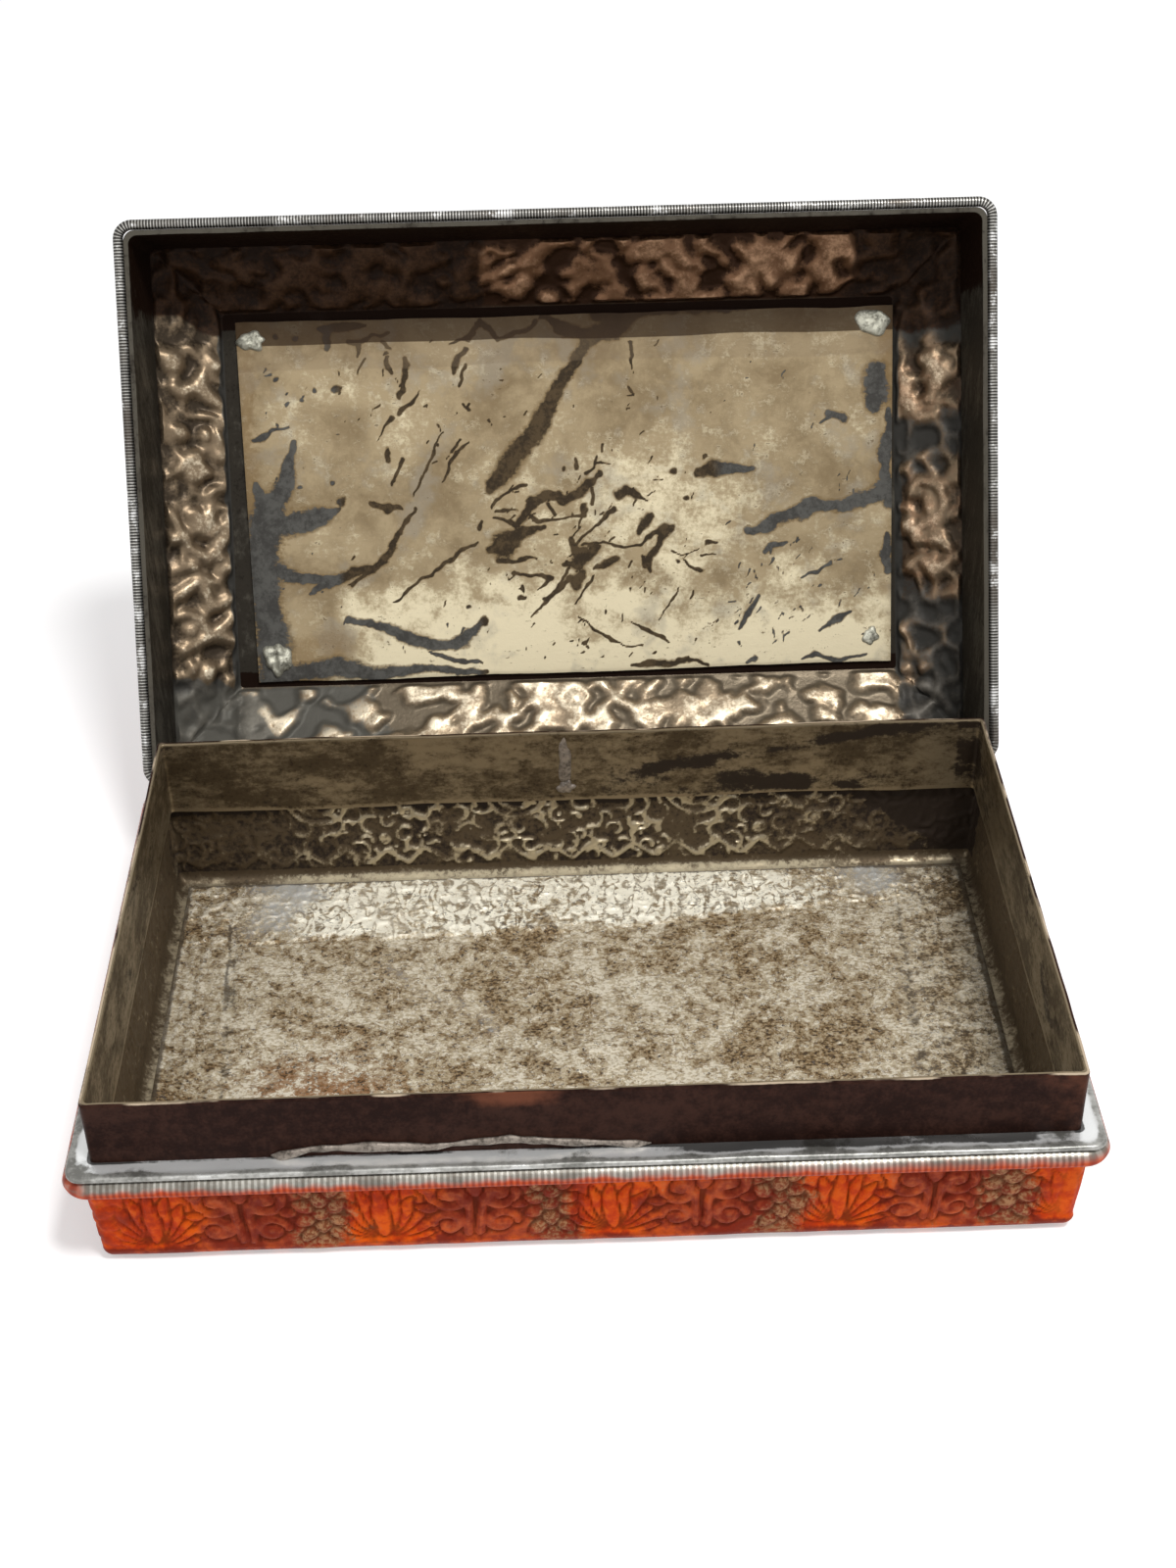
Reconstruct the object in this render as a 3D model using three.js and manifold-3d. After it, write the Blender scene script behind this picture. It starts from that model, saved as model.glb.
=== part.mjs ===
// Rectangular betel nut box in silver sheet: a low tray with a bearing collar, and a hinged slip-over lid.
// Millimetres, +Z up, front towards -Y. The origin is the centre of the tray's underside.
// The lid stands open, leaning back, where its edge wire meets the back of the tray's shelf.
import * as THREE from "three";
import { mergeVertices } from "three/addons/utils/BufferGeometryUtils.js";
import Module from "manifold-3d";

const wasm = await Module();
wasm.setup();

// Tray sizes. A reach is a distance out from the outside face of the collar, the same on all four sides.
const COLLAR_WIDTH = 170;
const COLLAR_DEPTH = 106;
const COLLAR_CORNER = 1; // outside corner radius: the strips were bent nearly sharp
const COLLAR_SHEET = 0.9;
const COLLAR_RISE = 13.3; // above the shelf
const COLLAR_DROP = 4; // below the shelf
const SHELF_HEIGHT = 24; // top of the shelf above the table
const SHELF_SHEET = 1;
const SHELF_REACH = 4;
const SHELF_ROUND = 0.4; // rounding of the shelf's upper edge
const WALL_SHEET = 1;
const WALL_TOP_REACH = 1.9; // outside of the wall, under the shelf
const WALL_FOOT_REACH = 0.7; // outside of the wall, where it turns under
const FOOT_RADIUS = 3.2; // outside radius of the turn into the floor
const FLOOR_SHEET = 1.2;
const MOULDING_HEIGHT = 4.2; // half-round milled strip below the shelf
const MOULDING_REACH = 5.2;

// Lid sizes, named as the lid lies when it is shut.
const LID_SEAM = 0.3; // air between shelf and lid
const SKIRT_HEIGHT = 19.2;
const SKIRT_MOUTH_REACH = 2; // inside of the skirt, at its mouth
const SKIRT_TOP_REACH = 0.9; // inside of the skirt, at the shoulder
const SKIRT_MOUTH_SHEET = 1;
const SKIRT_TOP_SHEET = 0.8;
const WIRE_DIAMETER = 2.1; // milled wire round the mouth
const SHOULDER_RUN = 13.5; // sloping border, measured inwards
const SHOULDER_RISE = 7.7;
const TOP_SHEET = 0.7;
const TOP_CORNER = 1; // corner radius of the flat panel
const SOLDER_FILM = 0.1; // thickness of solder between lid pieces
const PLATE_SHEET = 0.6; // plate that backs the panel, inside the lid
const PLATE_GAP = 0.3; // air behind the plate
const PLATE_MARGIN = 2.1; // from the foot of the shoulder to the plate
const PLATE_SHIFT = 1.5; // the plate was fixed a little to the right

// Hinge sizes.
const LID_OPEN = 118; // degrees from shut
const REST_GAP = 0.12; // between wire and shelf with the lid open
const PIN_RADIUS = 0.75;
const KNUCKLE_RADIUS = 1.5;
const KNUCKLE_LENGTH = 14;
const KNUCKLE_SPACE = 0.3; // between neighbouring knuckles
const RUNNING_GAP = 0.15; // lid knuckle round the pin
const NOTCH_CLEARANCE = 0.4; // round the knuckles, in tray and lid

// Solder sizes: across, along and thickness.
const SEAM_SOLDER = { across: 2.4, margin: 2.2, thick: 0.5, offset: -1.6 };
const BEAD_SOLDER = { start: -54, end: 11, deep: 1.1, tall: 1.5 };
const PLATE_SOLDERS = [
  { name: "plate_solder_front_left", side: -1, end: -1, inX: 3.4, inY: 4.2, across: 5.4, along: 4, thick: 0.8 },
  { name: "plate_solder_front_right", side: 1, end: -1, inX: 3.9, inY: 3.2, across: 6.6, along: 4.8, thick: 0.7 },
  { name: "plate_solder_back_left", side: -1, end: 1, inX: 3.7, inY: 4.4, across: 6.2, along: 6.6, thick: 1.1 },
  { name: "plate_solder_back_right", side: 1, end: 1, inX: 4, inY: 6.4, across: 3.2, along: 3.4, thick: 0.9 },
];

const CORNER_STEPS = 6;
const ROUND_SIDES = 24;
const radians = THREE.MathUtils.degToRad;

// Levels and lines that follow from the sizes.
const shelfUnder = SHELF_HEIGHT - SHELF_SHEET;
const mouth = SHELF_HEIGHT + LID_SEAM;
const shoulderFoot = mouth + SKIRT_HEIGHT + SOLDER_FILM;
const panelInside = shoulderFoot + SHOULDER_RISE;
const panelReach = SKIRT_TOP_REACH - SHOULDER_RUN;
const wireRadius = WIRE_DIAMETER / 2;
const wireReach = SKIRT_MOUTH_REACH + SKIRT_MOUTH_SHEET + SOLDER_FILM + wireRadius;
const wireLevel = mouth + wireRadius;
const hingeZ = SHELF_HEIGHT + LID_SEAM / 2;

// The hinge line lies where the open lid's wire comes to rest against the shelf's edge.
const openCos = Math.cos(radians(LID_OPEN));
const openSin = Math.sin(radians(LID_OPEN));
const restReach = SHELF_REACH + wireRadius + REST_GAP;
const hingeReach = (restReach - wireReach * openCos - (wireLevel - hingeZ) * openSin) / (1 - openCos);
const hingeY = COLLAR_DEPTH / 2 + hingeReach;
const knuckleStep = KNUCKLE_LENGTH + KNUCKLE_SPACE;
const hingeLength = 5 * KNUCKLE_LENGTH + 4 * KNUCKLE_SPACE;
const notchLength = hingeLength + 2 * NOTCH_CLEARANCE;
const notchFront = hingeY - KNUCKLE_RADIUS - NOTCH_CLEARANCE;
const notchFloor = hingeZ - KNUCKLE_RADIUS - NOTCH_CLEARANCE;
const notchRoof = hingeZ + KNUCKLE_RADIUS + NOTCH_CLEARANCE;

// Outside reach of the sloping tray wall at a height.
function wallReach(z) {
  const share = (z - FOOT_RADIUS) / (shelfUnder - FOOT_RADIUS);
  return WALL_FOOT_REACH + share * (WALL_TOP_REACH - WALL_FOOT_REACH);
}

// One turn of a rounded rectangle, anticlockwise from above, at a reach and a height.
function turn(reach, z, corner = Math.max(COLLAR_CORNER + reach, TOP_CORNER)) {
  const x = COLLAR_WIDTH / 2 + reach - corner;
  const y = COLLAR_DEPTH / 2 + reach - corner;
  const points = [];
  [[1, 1], [-1, 1], [-1, -1], [1, -1]].forEach(([sx, sy], quarter) => {
    for (let i = 0; i <= CORNER_STEPS; i++) {
      const angle = (quarter + i / CORNER_STEPS) * (Math.PI / 2);
      points.push([sx * x + corner * Math.cos(angle), sy * y + corner * Math.sin(angle), z]);
    }
  });
  return points;
}

// One turn of an ellipse, anticlockwise from above.
function oval(across, along, z) {
  const points = [];
  for (let i = 0; i < ROUND_SIDES; i++) {
    const angle = (i / ROUND_SIDES) * 2 * Math.PI;
    points.push([(across / 2) * Math.cos(angle), (along / 2) * Math.sin(angle), z]);
  }
  return points;
}

// A closed surface through a list of turns. Ends are capped, or joined to each other in a ring.
function loft(turns, ring = false) {
  const count = turns[0].length;
  const positions = turns.flat(2);
  const index = [];
  const last = ring ? turns.length : turns.length - 1;
  for (let k = 0; k < last; k++) {
    const low = k * count;
    const high = ((k + 1) % turns.length) * count;
    for (let i = 0; i < count; i++) {
      const j = (i + 1) % count;
      index.push(low + i, low + j, high + j, low + i, high + j, high + i);
    }
  }
  if (!ring) {
    [0, turns.length - 1].forEach((k, end) => {
      const centre = positions.length / 3;
      const sum = turns[k].reduce((a, p) => a.map((v, axis) => v + p[axis]), [0, 0, 0]);
      positions.push(...sum.map((v) => v / count));
      for (let i = 0; i < count; i++) {
        const pair = [k * count + i, k * count + ((i + 1) % count)];
        index.push(centre, ...(end ? pair : pair.reverse()));
      }
    });
  }
  const geometry = new THREE.BufferGeometry();
  geometry.setAttribute("position", new THREE.Float32BufferAttribute(positions, 3));
  geometry.setIndex(index);
  return geometry;
}

// A band that runs round the box, from its section as [reach, height] pairs, anticlockwise.
function band(section) {
  return loft(section.map(([reach, z]) => turn(reach, z)), true);
}

// A low mound of solder on the plane z = 0.
function mound(across, along, thick) {
  const turns = [];
  for (let i = 0; i < 4; i++) {
    const angle = (i / 4) * (Math.PI / 2);
    turns.push(oval(across * Math.cos(angle), along * Math.cos(angle), thick * Math.sin(angle)));
  }
  return loft(turns);
}

function block(x0, x1, y0, y1, z0, z1) {
  const box = new THREE.BoxGeometry(x1 - x0, y1 - y0, z1 - z0);
  return box.translate((x0 + x1) / 2, (y0 + y1) / 2, (z0 + z1) / 2);
}

// A round bar along the hinge line.
function bar(radius, length, x) {
  const rod = new THREE.CylinderGeometry(radius, radius, length, ROUND_SIDES);
  return rod.rotateZ(Math.PI / 2).translate(x, hingeY, hingeZ);
}

function solid(geometry) {
  const plain = geometry.clone();
  plain.deleteAttribute("normal");
  plain.deleteAttribute("uv");
  const merged = mergeVertices(plain, 1e-4);
  return new wasm.Manifold(
    new wasm.Mesh({
      numProp: 3,
      vertProperties: new Float32Array(merged.attributes.position.array),
      triVerts: new Uint32Array(merged.index.array),
    }),
  );
}

function surface(body) {
  const mesh = body.getMesh();
  const geometry = new THREE.BufferGeometry();
  geometry.setAttribute("position", new THREE.BufferAttribute(mesh.vertProperties, 3));
  geometry.setIndex(new THREE.BufferAttribute(mesh.triVerts, 1));
  return geometry;
}

function cut(geometry, tool) {
  return surface(solid(geometry).subtract(solid(tool)));
}

function metal(color, roughness, metalness) {
  return () => new THREE.MeshStandardMaterial({ color, roughness, metalness });
}

const lacquer = metal(0xc2481c, 0.5, 0.2);
const brightSilver = metal(0xd8d6d0, 0.25, 1);
const brownSilver = metal(0x6a5a48, 0.45, 0.9);
const floorSilver = metal(0xa8997f, 0.5, 0.9);
const plateSilver = metal(0xb5a688, 0.45, 0.9);
const greySolder = metal(0x8f9088, 0.6, 0.8);

function add(parent, name, geometry, material) {
  geometry.computeVertexNormals();
  const mesh = new THREE.Mesh(geometry, material());
  mesh.name = name;
  parent.add(mesh);
  return mesh;
}

const box = new THREE.Group();
const tray = new THREE.Group();
box.add(tray);

// Tray wall: one strip that leans out slightly and turns under at the foot.
const footReach = WALL_FOOT_REACH - FOOT_RADIUS;
const footArc = (radius, i) => {
  const angle = (i / 4) * (Math.PI / 2);
  return [footReach + radius * Math.sin(angle), FOOT_RADIUS - radius * Math.cos(angle)];
};
const outsideFoot = [0, 1, 2, 3, 4].map((i) => footArc(FOOT_RADIUS, i));
const insideFoot = [4, 3, 2, 1, 0].map((i) => footArc(FOOT_RADIUS - WALL_SHEET, i));
const wallTop = [
  [WALL_TOP_REACH, shelfUnder],
  [WALL_TOP_REACH - WALL_SHEET, shelfUnder],
];
add(tray, "tray_wall", band([...outsideFoot, ...wallTop, ...insideFoot]), lacquer);

// Floor sheet let in between the turned feet of the wall.
add(tray, "tray_floor", loft([turn(footReach, 0), turn(footReach, FLOOR_SHEET)]), floorSilver);

// Shelf that the lid sits on, cut out at the back for the hinge.
const notch = block(
  -notchLength / 2, notchLength / 2, notchFront, hingeY + MOULDING_REACH, notchFloor, SHELF_HEIGHT + KNUCKLE_RADIUS,
);
const shelf = band([
  [0, shelfUnder],
  [SHELF_REACH, shelfUnder],
  [SHELF_REACH, SHELF_HEIGHT - SHELF_ROUND],
  [SHELF_REACH - SHELF_ROUND, SHELF_HEIGHT],
  [0, SHELF_HEIGHT],
]);
add(tray, "tray_shelf", cut(shelf, notch), brightSilver);

// Half-round milled strip under the shelf, soldered round the wall.
const mouldingUnder = shelfUnder - MOULDING_HEIGHT;
const mouldingArc = [];
for (let i = 0; i <= 8; i++) {
  const angle = (i / 8 - 0.5) * Math.PI;
  const z = shelfUnder - MOULDING_HEIGHT / 2 + (MOULDING_HEIGHT / 2) * Math.sin(angle);
  const swell = i === 0 || i === 8 ? 0 : Math.cos(angle);
  mouldingArc.push([wallReach(z) + (MOULDING_REACH - wallReach(z)) * swell, z]);
}
mouldingArc[0] = [wallReach(mouldingUnder), mouldingUnder];
add(tray, "tray_moulding", cut(band(mouldingArc), notch), brightSilver);

// Bearing collar: a strip standing inside the shelf, closed by a soldered seam at the back.
add(
  tray,
  "tray_collar",
  band([
    [-COLLAR_SHEET, SHELF_HEIGHT - COLLAR_DROP],
    [0, SHELF_HEIGHT - COLLAR_DROP],
    [0, SHELF_HEIGHT + COLLAR_RISE],
    [-COLLAR_SHEET, SHELF_HEIGHT + COLLAR_RISE],
  ]),
  brownSilver,
);
const collarHeight = COLLAR_RISE + COLLAR_DROP;
const seam = add(
  tray,
  "collar_seam_solder",
  mound(SEAM_SOLDER.across, collarHeight - 2 * SEAM_SOLDER.margin, SEAM_SOLDER.thick),
  greySolder,
);
seam.rotation.x = Math.PI / 2;
seam.position.set(
  SEAM_SOLDER.offset,
  COLLAR_DEPTH / 2 - COLLAR_SHEET,
  SHELF_HEIGHT - COLLAR_DROP + collarHeight / 2,
);

// Solder that ran along the corner between collar and shelf, at the front.
const beadFront = -COLLAR_DEPTH / 2;
const beadSwell = [0.3, 0.9, 0.7, 1, 0.8, 1, 0.75, 0.85, 0.3];
const beadTurns = beadSwell.map((swell, i) => {
  const x = THREE.MathUtils.lerp(BEAD_SOLDER.start, BEAD_SOLDER.end, i / (beadSwell.length - 1));
  return [
    [x, beadFront, SHELF_HEIGHT],
    [x, beadFront, SHELF_HEIGHT + BEAD_SOLDER.tall * swell],
    [x, beadFront - BEAD_SOLDER.deep * swell, SHELF_HEIGHT],
  ];
});
add(tray, "shelf_solder_bead", loft(beadTurns), greySolder);

// Hinge: knuckles let into the shelf and into the lid's mouth, on one pin.
function knuckle(place, bore, y0, y1, z0, z1) {
  const x = place * knuckleStep;
  const half = KNUCKLE_LENGTH / 2;
  const tube = solid(bar(KNUCKLE_RADIUS, KNUCKLE_LENGTH, x));
  const seat = solid(block(x - half, x + half, y0, y1, z0, z1));
  const hole = solid(bar(bore, KNUCKLE_LENGTH + 2, x));
  return surface(tube.add(seat).subtract(hole));
}
[["left", -2], ["centre", 0], ["right", 2]].forEach(([side, place]) => {
  const shape = knuckle(place, PIN_RADIUS, notchFront, hingeY, notchFloor, SHELF_HEIGHT);
  add(tray, "tray_knuckle_" + side, shape, brownSilver);
});
add(tray, "hinge_pin", bar(PIN_RADIUS, hingeLength + NOTCH_CLEARANCE, 0), brownSilver);

// The lid turns about the hinge line. Its pieces are placed as they lie when it is shut.
const lidTurn = new THREE.Group();
lidTurn.position.set(0, hingeY, hingeZ);
lidTurn.rotation.x = -radians(LID_OPEN);
box.add(lidTurn);
const lid = new THREE.Group();
lid.position.set(0, -hingeY, -hingeZ);
lidTurn.add(lid);

// Plain skirt that slips over the collar, notched for the hinge.
const skirt = band([
  [SKIRT_MOUTH_REACH, mouth],
  [SKIRT_MOUTH_REACH + SKIRT_MOUTH_SHEET, mouth],
  [SKIRT_TOP_REACH + SKIRT_TOP_SHEET, mouth + SKIRT_HEIGHT],
  [SKIRT_TOP_REACH, mouth + SKIRT_HEIGHT],
]);
const skirtNotch = block(
  -notchLength / 2, notchLength / 2, COLLAR_DEPTH / 2, hingeY + MOULDING_REACH, mouth - 1, notchRoof,
);
add(lid, "lid_skirt", cut(skirt, skirtNotch), brownSilver);

// Top sheet: a sloping shoulder round a flat panel.
const slope = Math.atan2(SHOULDER_RISE, SHOULDER_RUN);
const shoulderOut = SKIRT_TOP_REACH + SKIRT_TOP_SHEET;
const rimRise = Math.max(TOP_SHEET / Math.cos(slope) - SKIRT_TOP_SHEET * Math.tan(slope), TOP_SHEET / 4);
const panelTop = panelInside + TOP_SHEET;
const panelTopReach = shoulderOut - (panelTop - shoulderFoot - rimRise) / Math.tan(slope);
add(
  lid,
  "lid_top",
  loft([
    turn(panelReach, panelInside),
    turn(SKIRT_TOP_REACH, shoulderFoot),
    turn(shoulderOut, shoulderFoot),
    turn(shoulderOut, shoulderFoot + rimRise),
    turn(panelTopReach, panelTop),
  ]),
  lacquer,
);

// Milled wire round the mouth, stopping at the hinge.
const wireSection = [];
for (let i = 0; i < 12; i++) {
  const angle = ((i + 0.5) / 12) * 2 * Math.PI;
  wireSection.push([wireReach + wireRadius * Math.cos(angle), wireLevel + wireRadius * Math.sin(angle)]);
}
const wireGap = block(
  -notchLength / 2, notchLength / 2, COLLAR_DEPTH / 2, hingeY + MOULDING_REACH, mouth - 1, mouth + WIRE_DIAMETER + 1,
);
add(lid, "lid_wire", cut(band(wireSection), wireGap), brownSilver);

// Plate that covers the back of the panel, held by solder at its corners.
const plateX = COLLAR_WIDTH / 2 + panelReach - PLATE_MARGIN;
const plateY = COLLAR_DEPTH / 2 + panelReach - PLATE_MARGIN;
const plateTop = panelInside - PLATE_GAP;
const plateFace = plateTop - PLATE_SHEET;
add(
  lid,
  "backing_plate",
  block(PLATE_SHIFT - plateX, PLATE_SHIFT + plateX, -plateY, plateY, plateFace, plateTop),
  plateSilver,
);
for (const { name, side, end, inX, inY, across, along, thick } of PLATE_SOLDERS) {
  const solder = add(lid, name, mound(across, along, thick), greySolder);
  solder.rotation.x = Math.PI;
  solder.position.set(PLATE_SHIFT + side * (plateX - inX), end * (plateY - inY), plateFace);
}

[["left", -1], ["right", 1]].forEach(([side, place]) => {
  const inside = COLLAR_DEPTH / 2 + SKIRT_MOUTH_REACH;
  const shape = knuckle(place, PIN_RADIUS + RUNNING_GAP, inside, hingeY, mouth, notchRoof - SOLDER_FILM);
  add(lid, "lid_knuckle_" + side, shape, brownSilver);
});

export default box;
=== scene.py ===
# %% [markdown]
# # An open betel nut box
# This lesson dresses a measured box of silver sheet: a low tray with a plain collar, and a hinged lid
# that leans back. The measured solids come in first and stay fixed. Each shown piece but the hinge is then
# built over its own solid, in metres and in the same place, so that the lid can still turn on its hinge.

# %% Load the measured frame
import math

import bpy
import numpy as np
from mathutils import Matrix


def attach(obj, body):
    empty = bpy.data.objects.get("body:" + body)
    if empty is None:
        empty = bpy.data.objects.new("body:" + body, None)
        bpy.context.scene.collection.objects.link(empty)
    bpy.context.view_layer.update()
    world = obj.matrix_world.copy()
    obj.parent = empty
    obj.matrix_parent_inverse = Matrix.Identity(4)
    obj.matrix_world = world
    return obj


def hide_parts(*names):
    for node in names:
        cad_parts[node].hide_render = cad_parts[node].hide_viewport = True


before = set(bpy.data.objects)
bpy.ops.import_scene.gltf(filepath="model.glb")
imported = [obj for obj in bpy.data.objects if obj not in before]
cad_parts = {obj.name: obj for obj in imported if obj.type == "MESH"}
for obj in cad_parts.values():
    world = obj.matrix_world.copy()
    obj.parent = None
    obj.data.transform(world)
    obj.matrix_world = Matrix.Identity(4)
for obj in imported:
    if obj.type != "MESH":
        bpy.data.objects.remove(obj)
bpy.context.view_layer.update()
MM = 0.001

# %% [markdown]
# ## Sizes
# The maker worked from one outline, the outside of the collar, so every other outline is given as a
# reach: a distance out from the collar, the same on all four sides. The values below repeat the measured
# part in millimetres. The lid's values are those of the shut lid, because a shut lid lies square to the
# axes and is much easier to think about. One small function turns finished points to the open lid.

# %% Sizes in millimetres, and the turn of the lid
HALF_X, HALF_Y, CORNER = 85.0, 53.0, 1.0
COLLAR_SHEET, COLLAR_FOOT, COLLAR_TOP = 0.9, 20.0, 37.3
SHELF_UNDER, SHELF_TOP, SHELF_REACH = 23.0, 24.0, 4.0
WALL_FOOT_REACH, WALL_TOP_REACH, FOOT_RADIUS, WALL_SHEET = 0.7, 1.9, 3.2, 1.0
WALL_TOP = 22.9
FOOT_REACH, FLOOR_TOP = -2.5, 1.2
MOULDING_UNDER = 18.8
MOUTH, SHOULDER_FOOT, PANEL_INSIDE, PANEL_TOP = 24.3, 43.6, 51.3, 52.0
SKIRT_MOUTH, SKIRT_TOP = (2.0, 3.0), (0.9, 1.7)
PANEL_REACH, PANEL_TOP_REACH, RIM_RISE = -12.6, -12.41, 0.35
WIRE_REACH, WIRE_LEVEL, WIRE_RADIUS = 4.15, 25.35, 1.05
PLATE_FACE, PLATE_BACK = 50.4, 51.0
HINGE_Y, HINGE_Z, LID_OPEN = 57.123, 24.15, math.radians(118)
NOTCH_HALF, NOTCH_FRONT, NOTCH_ROOF = 36.0, 55.22, 26.05
SLOPE = math.atan2(PANEL_INSIDE - SHOULDER_FOOT, SKIRT_TOP[0] - PANEL_REACH)


def open_lid(points):
    """Points of the shut lid, turned back to where the open lid stands."""
    y, z = points[..., 1] - HINGE_Y, points[..., 2] - HINGE_Z
    turned = np.array(points, float)
    turned[..., 1] = HINGE_Y + y * math.cos(LID_OPEN) + z * math.sin(LID_OPEN)
    turned[..., 2] = HINGE_Z - y * math.sin(LID_OPEN) + z * math.cos(LID_OPEN)
    return turned


print("slope of the lid's shoulder:", round(math.degrees(SLOPE), 1), "degrees")

# %% [markdown]
# ## Camera
# The photograph was taken from above the front, and slightly turned. The camera's place came from fitting
# the box's known corners to the picture, so it is written here as numbers: a place, a look direction made
# of yaw, pitch and roll, and a lens for the 1200 by 1600 frame.

# %% The camera of the photograph
YAW, PITCH, ROLL, FOCAL = -0.0161, 0.6317, -0.0213, 2309 / 1600
CAMERA_PLACE = np.array([-2.99, -328.83, 302.71])
SENSOR = 36
side = np.array([math.cos(YAW), math.sin(YAW), 0])
ahead = np.array([-math.sin(YAW) * math.cos(PITCH), math.cos(YAW) * math.cos(PITCH), -math.sin(PITCH)])
above = np.cross(side, ahead)
turn = np.eye(4)
turn[:3, 0] = side * math.cos(ROLL) + above * math.sin(ROLL)
turn[:3, 1] = above * math.cos(ROLL) - side * math.sin(ROLL)
turn[:3, 2] = -ahead
turn[:3, 3] = CAMERA_PLACE * MM
camera = bpy.data.objects.new("camera", bpy.data.cameras.new("camera"))
bpy.context.scene.collection.objects.link(camera)
camera.matrix_world = Matrix(turn.tolist())
camera.data.sensor_width = SENSOR
camera.data.lens = FOCAL * SENSOR
camera.data.clip_start, camera.data.clip_end = 0.01, 50
bpy.context.scene.camera = camera
print("lens:", round(camera.data.lens, 2), "mm")

# %% [markdown]
# ## Node arithmetic
# Old silver is never one colour, so every finish here mixes several layers by masks. Masks are plain
# arithmetic on noise, and arithmetic is easier to read as Python than as a web of nodes. Thread wraps
# one socket and lays a Math node for each operator. Web owns a node tree and has one method that makes
# any node. Finish is a web for a material, in which colours are laid over each other by Mix nodes,
# because a Math node would turn them grey.

# %% Thread and Web
class Thread:
    """One output socket of a web. Arithmetic on it lays Math nodes behind it."""

    def __init__(self, web, socket):
        self.web, self.socket = web, socket

    def math(self, operation, first, second, clamp=False):
        settings = {"operation": operation, "use_clamp": clamp}
        return self.web.node("ShaderNodeMath", settings, {0: first, 1: second})

    def __add__(self, other):
        return self.math("ADD", self, other)

    def __radd__(self, other):
        return self.math("ADD", other, self)

    def __sub__(self, other):
        return self.math("SUBTRACT", self, other)

    def __rsub__(self, other):
        return self.math("SUBTRACT", other, self)

    def __mul__(self, other):
        return self.math("MULTIPLY", self, other)

    def __rmul__(self, other):
        return self.math("MULTIPLY", other, self)

    def clip(self):
        return self.math("ADD", self, 0.0, clamp=True)

    def most(self, other):
        return self.math("MAXIMUM", self, other)

    def sine(self):
        return self.math("SINE", self, 0.0)

    def sway(self, amount):
        """Noise from 0 to 1, moved to swing evenly about 0 over a range of amount."""
        return (self - 0.5) * amount

    def rise(self, low, high):
        """0 below low, 1 above high, with a soft step between. low may be above high."""
        settings = {"interpolation_type": "SMOOTHSTEP"}
        if low > high:
            return 1 - self.rise(high, low)
        return self.web.node("ShaderNodeMapRange", settings, {"Value": self, 1: low, 2: high})


class Web:
    """A node tree, cleared, and the one method that makes a node in it."""

    def __init__(self, tree):
        self.tree = tree
        tree.nodes.clear()

    def node(self, kind, settings=None, inputs=None, out=0):
        """A node of a kind, with its settings, and numbers or threads for its inputs. Gives a thread from
        one of its outputs, where it has any."""
        made = self.tree.nodes.new(kind)
        for key, value in (settings or {}).items():
            setattr(made, key, value)
        for key, value in (inputs or {}).items():
            if isinstance(value, Thread):
                self.tree.links.new(value.socket, made.inputs[key])
            else:
                made.inputs[key].default_value = value
        return Thread(self, made.outputs[out]) if made.outputs else None


print("node arithmetic is ready")

# %% Finish
def tint(red, green, blue):
    """A colour as it looks in a picture, 0 to 255, made linear for the shader."""
    def line(v):
        v = v / 255
        return v / 12.92 if v <= 0.04045 else ((v + 0.055) / 1.055) ** 2.4
    return (line(red), line(green), line(blue), 1.0)


class Finish(Web):
    """A material whose colour, roughness and bump are built up in layers. A colour is three numbers from
    0 to 255, or a thread."""

    def __init__(self, name):
        self.material = bpy.data.materials.new(name)
        self.material.use_nodes = True
        super().__init__(self.material.node_tree)
        self.place = self.node("ShaderNodeTexCoord", out="Object")
        self.colour = None

    def marks(self, *names):
        """Numbers that the mesh carries at each of its points."""
        return [self.node("ShaderNodeAttribute", {"attribute_name": name}, out="Fac") for name in names]

    def noise(self, size, detail=3.0, rough=0.55, stretch=(1, 1, 1), shift=0.0, warp=0.0):
        """Noise from 0 to 1 with patches about size millimetres across."""
        scale = tuple(1 / (size * MM * s) for s in stretch)
        inputs = {"Vector": self.place, "Scale": scale, "Location": (shift, shift * 0.7, shift * 1.3)}
        mapped = self.node("ShaderNodeMapping", {}, inputs)
        inputs = {"Vector": mapped, "Scale": 1.0, "Detail": detail, "Roughness": rough, "Distortion": warp}
        return self.node("ShaderNodeTexNoise", {}, inputs)

    def blend(self, first, second, share):
        """One colour, turning to a second."""
        first, second = (c if isinstance(c, Thread) else tint(*c) for c in (first, second))
        return self.node("ShaderNodeMix", {"data_type": "RGBA"}, {0: share, 6: first, 7: second}, out=2)

    def layer(self, colour, share):
        """Lay a colour over what is there, by a share from 0 to 1."""
        self.colour = self.blend(self.colour, colour, share)

    def bump(self, height, distance, strength):
        """Small unevenness that only shading shows, up to a distance in millimetres."""
        inputs = {"Height": height, "Distance": distance * MM, "Strength": strength}
        return self.node("ShaderNodeBump", {}, inputs)

    def close(self, metallic, roughness, normal, gloss=0.5):
        """End the web in a surface of the gathered colour."""
        inputs = {"Base Color": self.colour, "Metallic": metallic, "Roughness": roughness, "Normal": normal,
                  "Specular IOR Level": gloss}
        self.end(self.node("ShaderNodeBsdfPrincipled", {}, inputs))
        return self.material

    def end(self, surface):
        self.node("ShaderNodeOutputMaterial", {}, {"Surface": surface})


print("finishes are ready")

# %% [markdown]
# ## Mesh helpers
# Hammered sheet metal is really shaped, not just shaded, so the pieces are dense grids whose points are
# pushed out and in. A loop is a rounded rectangle of columns. Rings of the same columns at other reaches
# and heights are gathered in a Skin, with marks for the finish at each point, and closed into a shell.
# Drift is a smooth, seeded noise that makes edges waver. Ramp and bell shape most of the marks.

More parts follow.
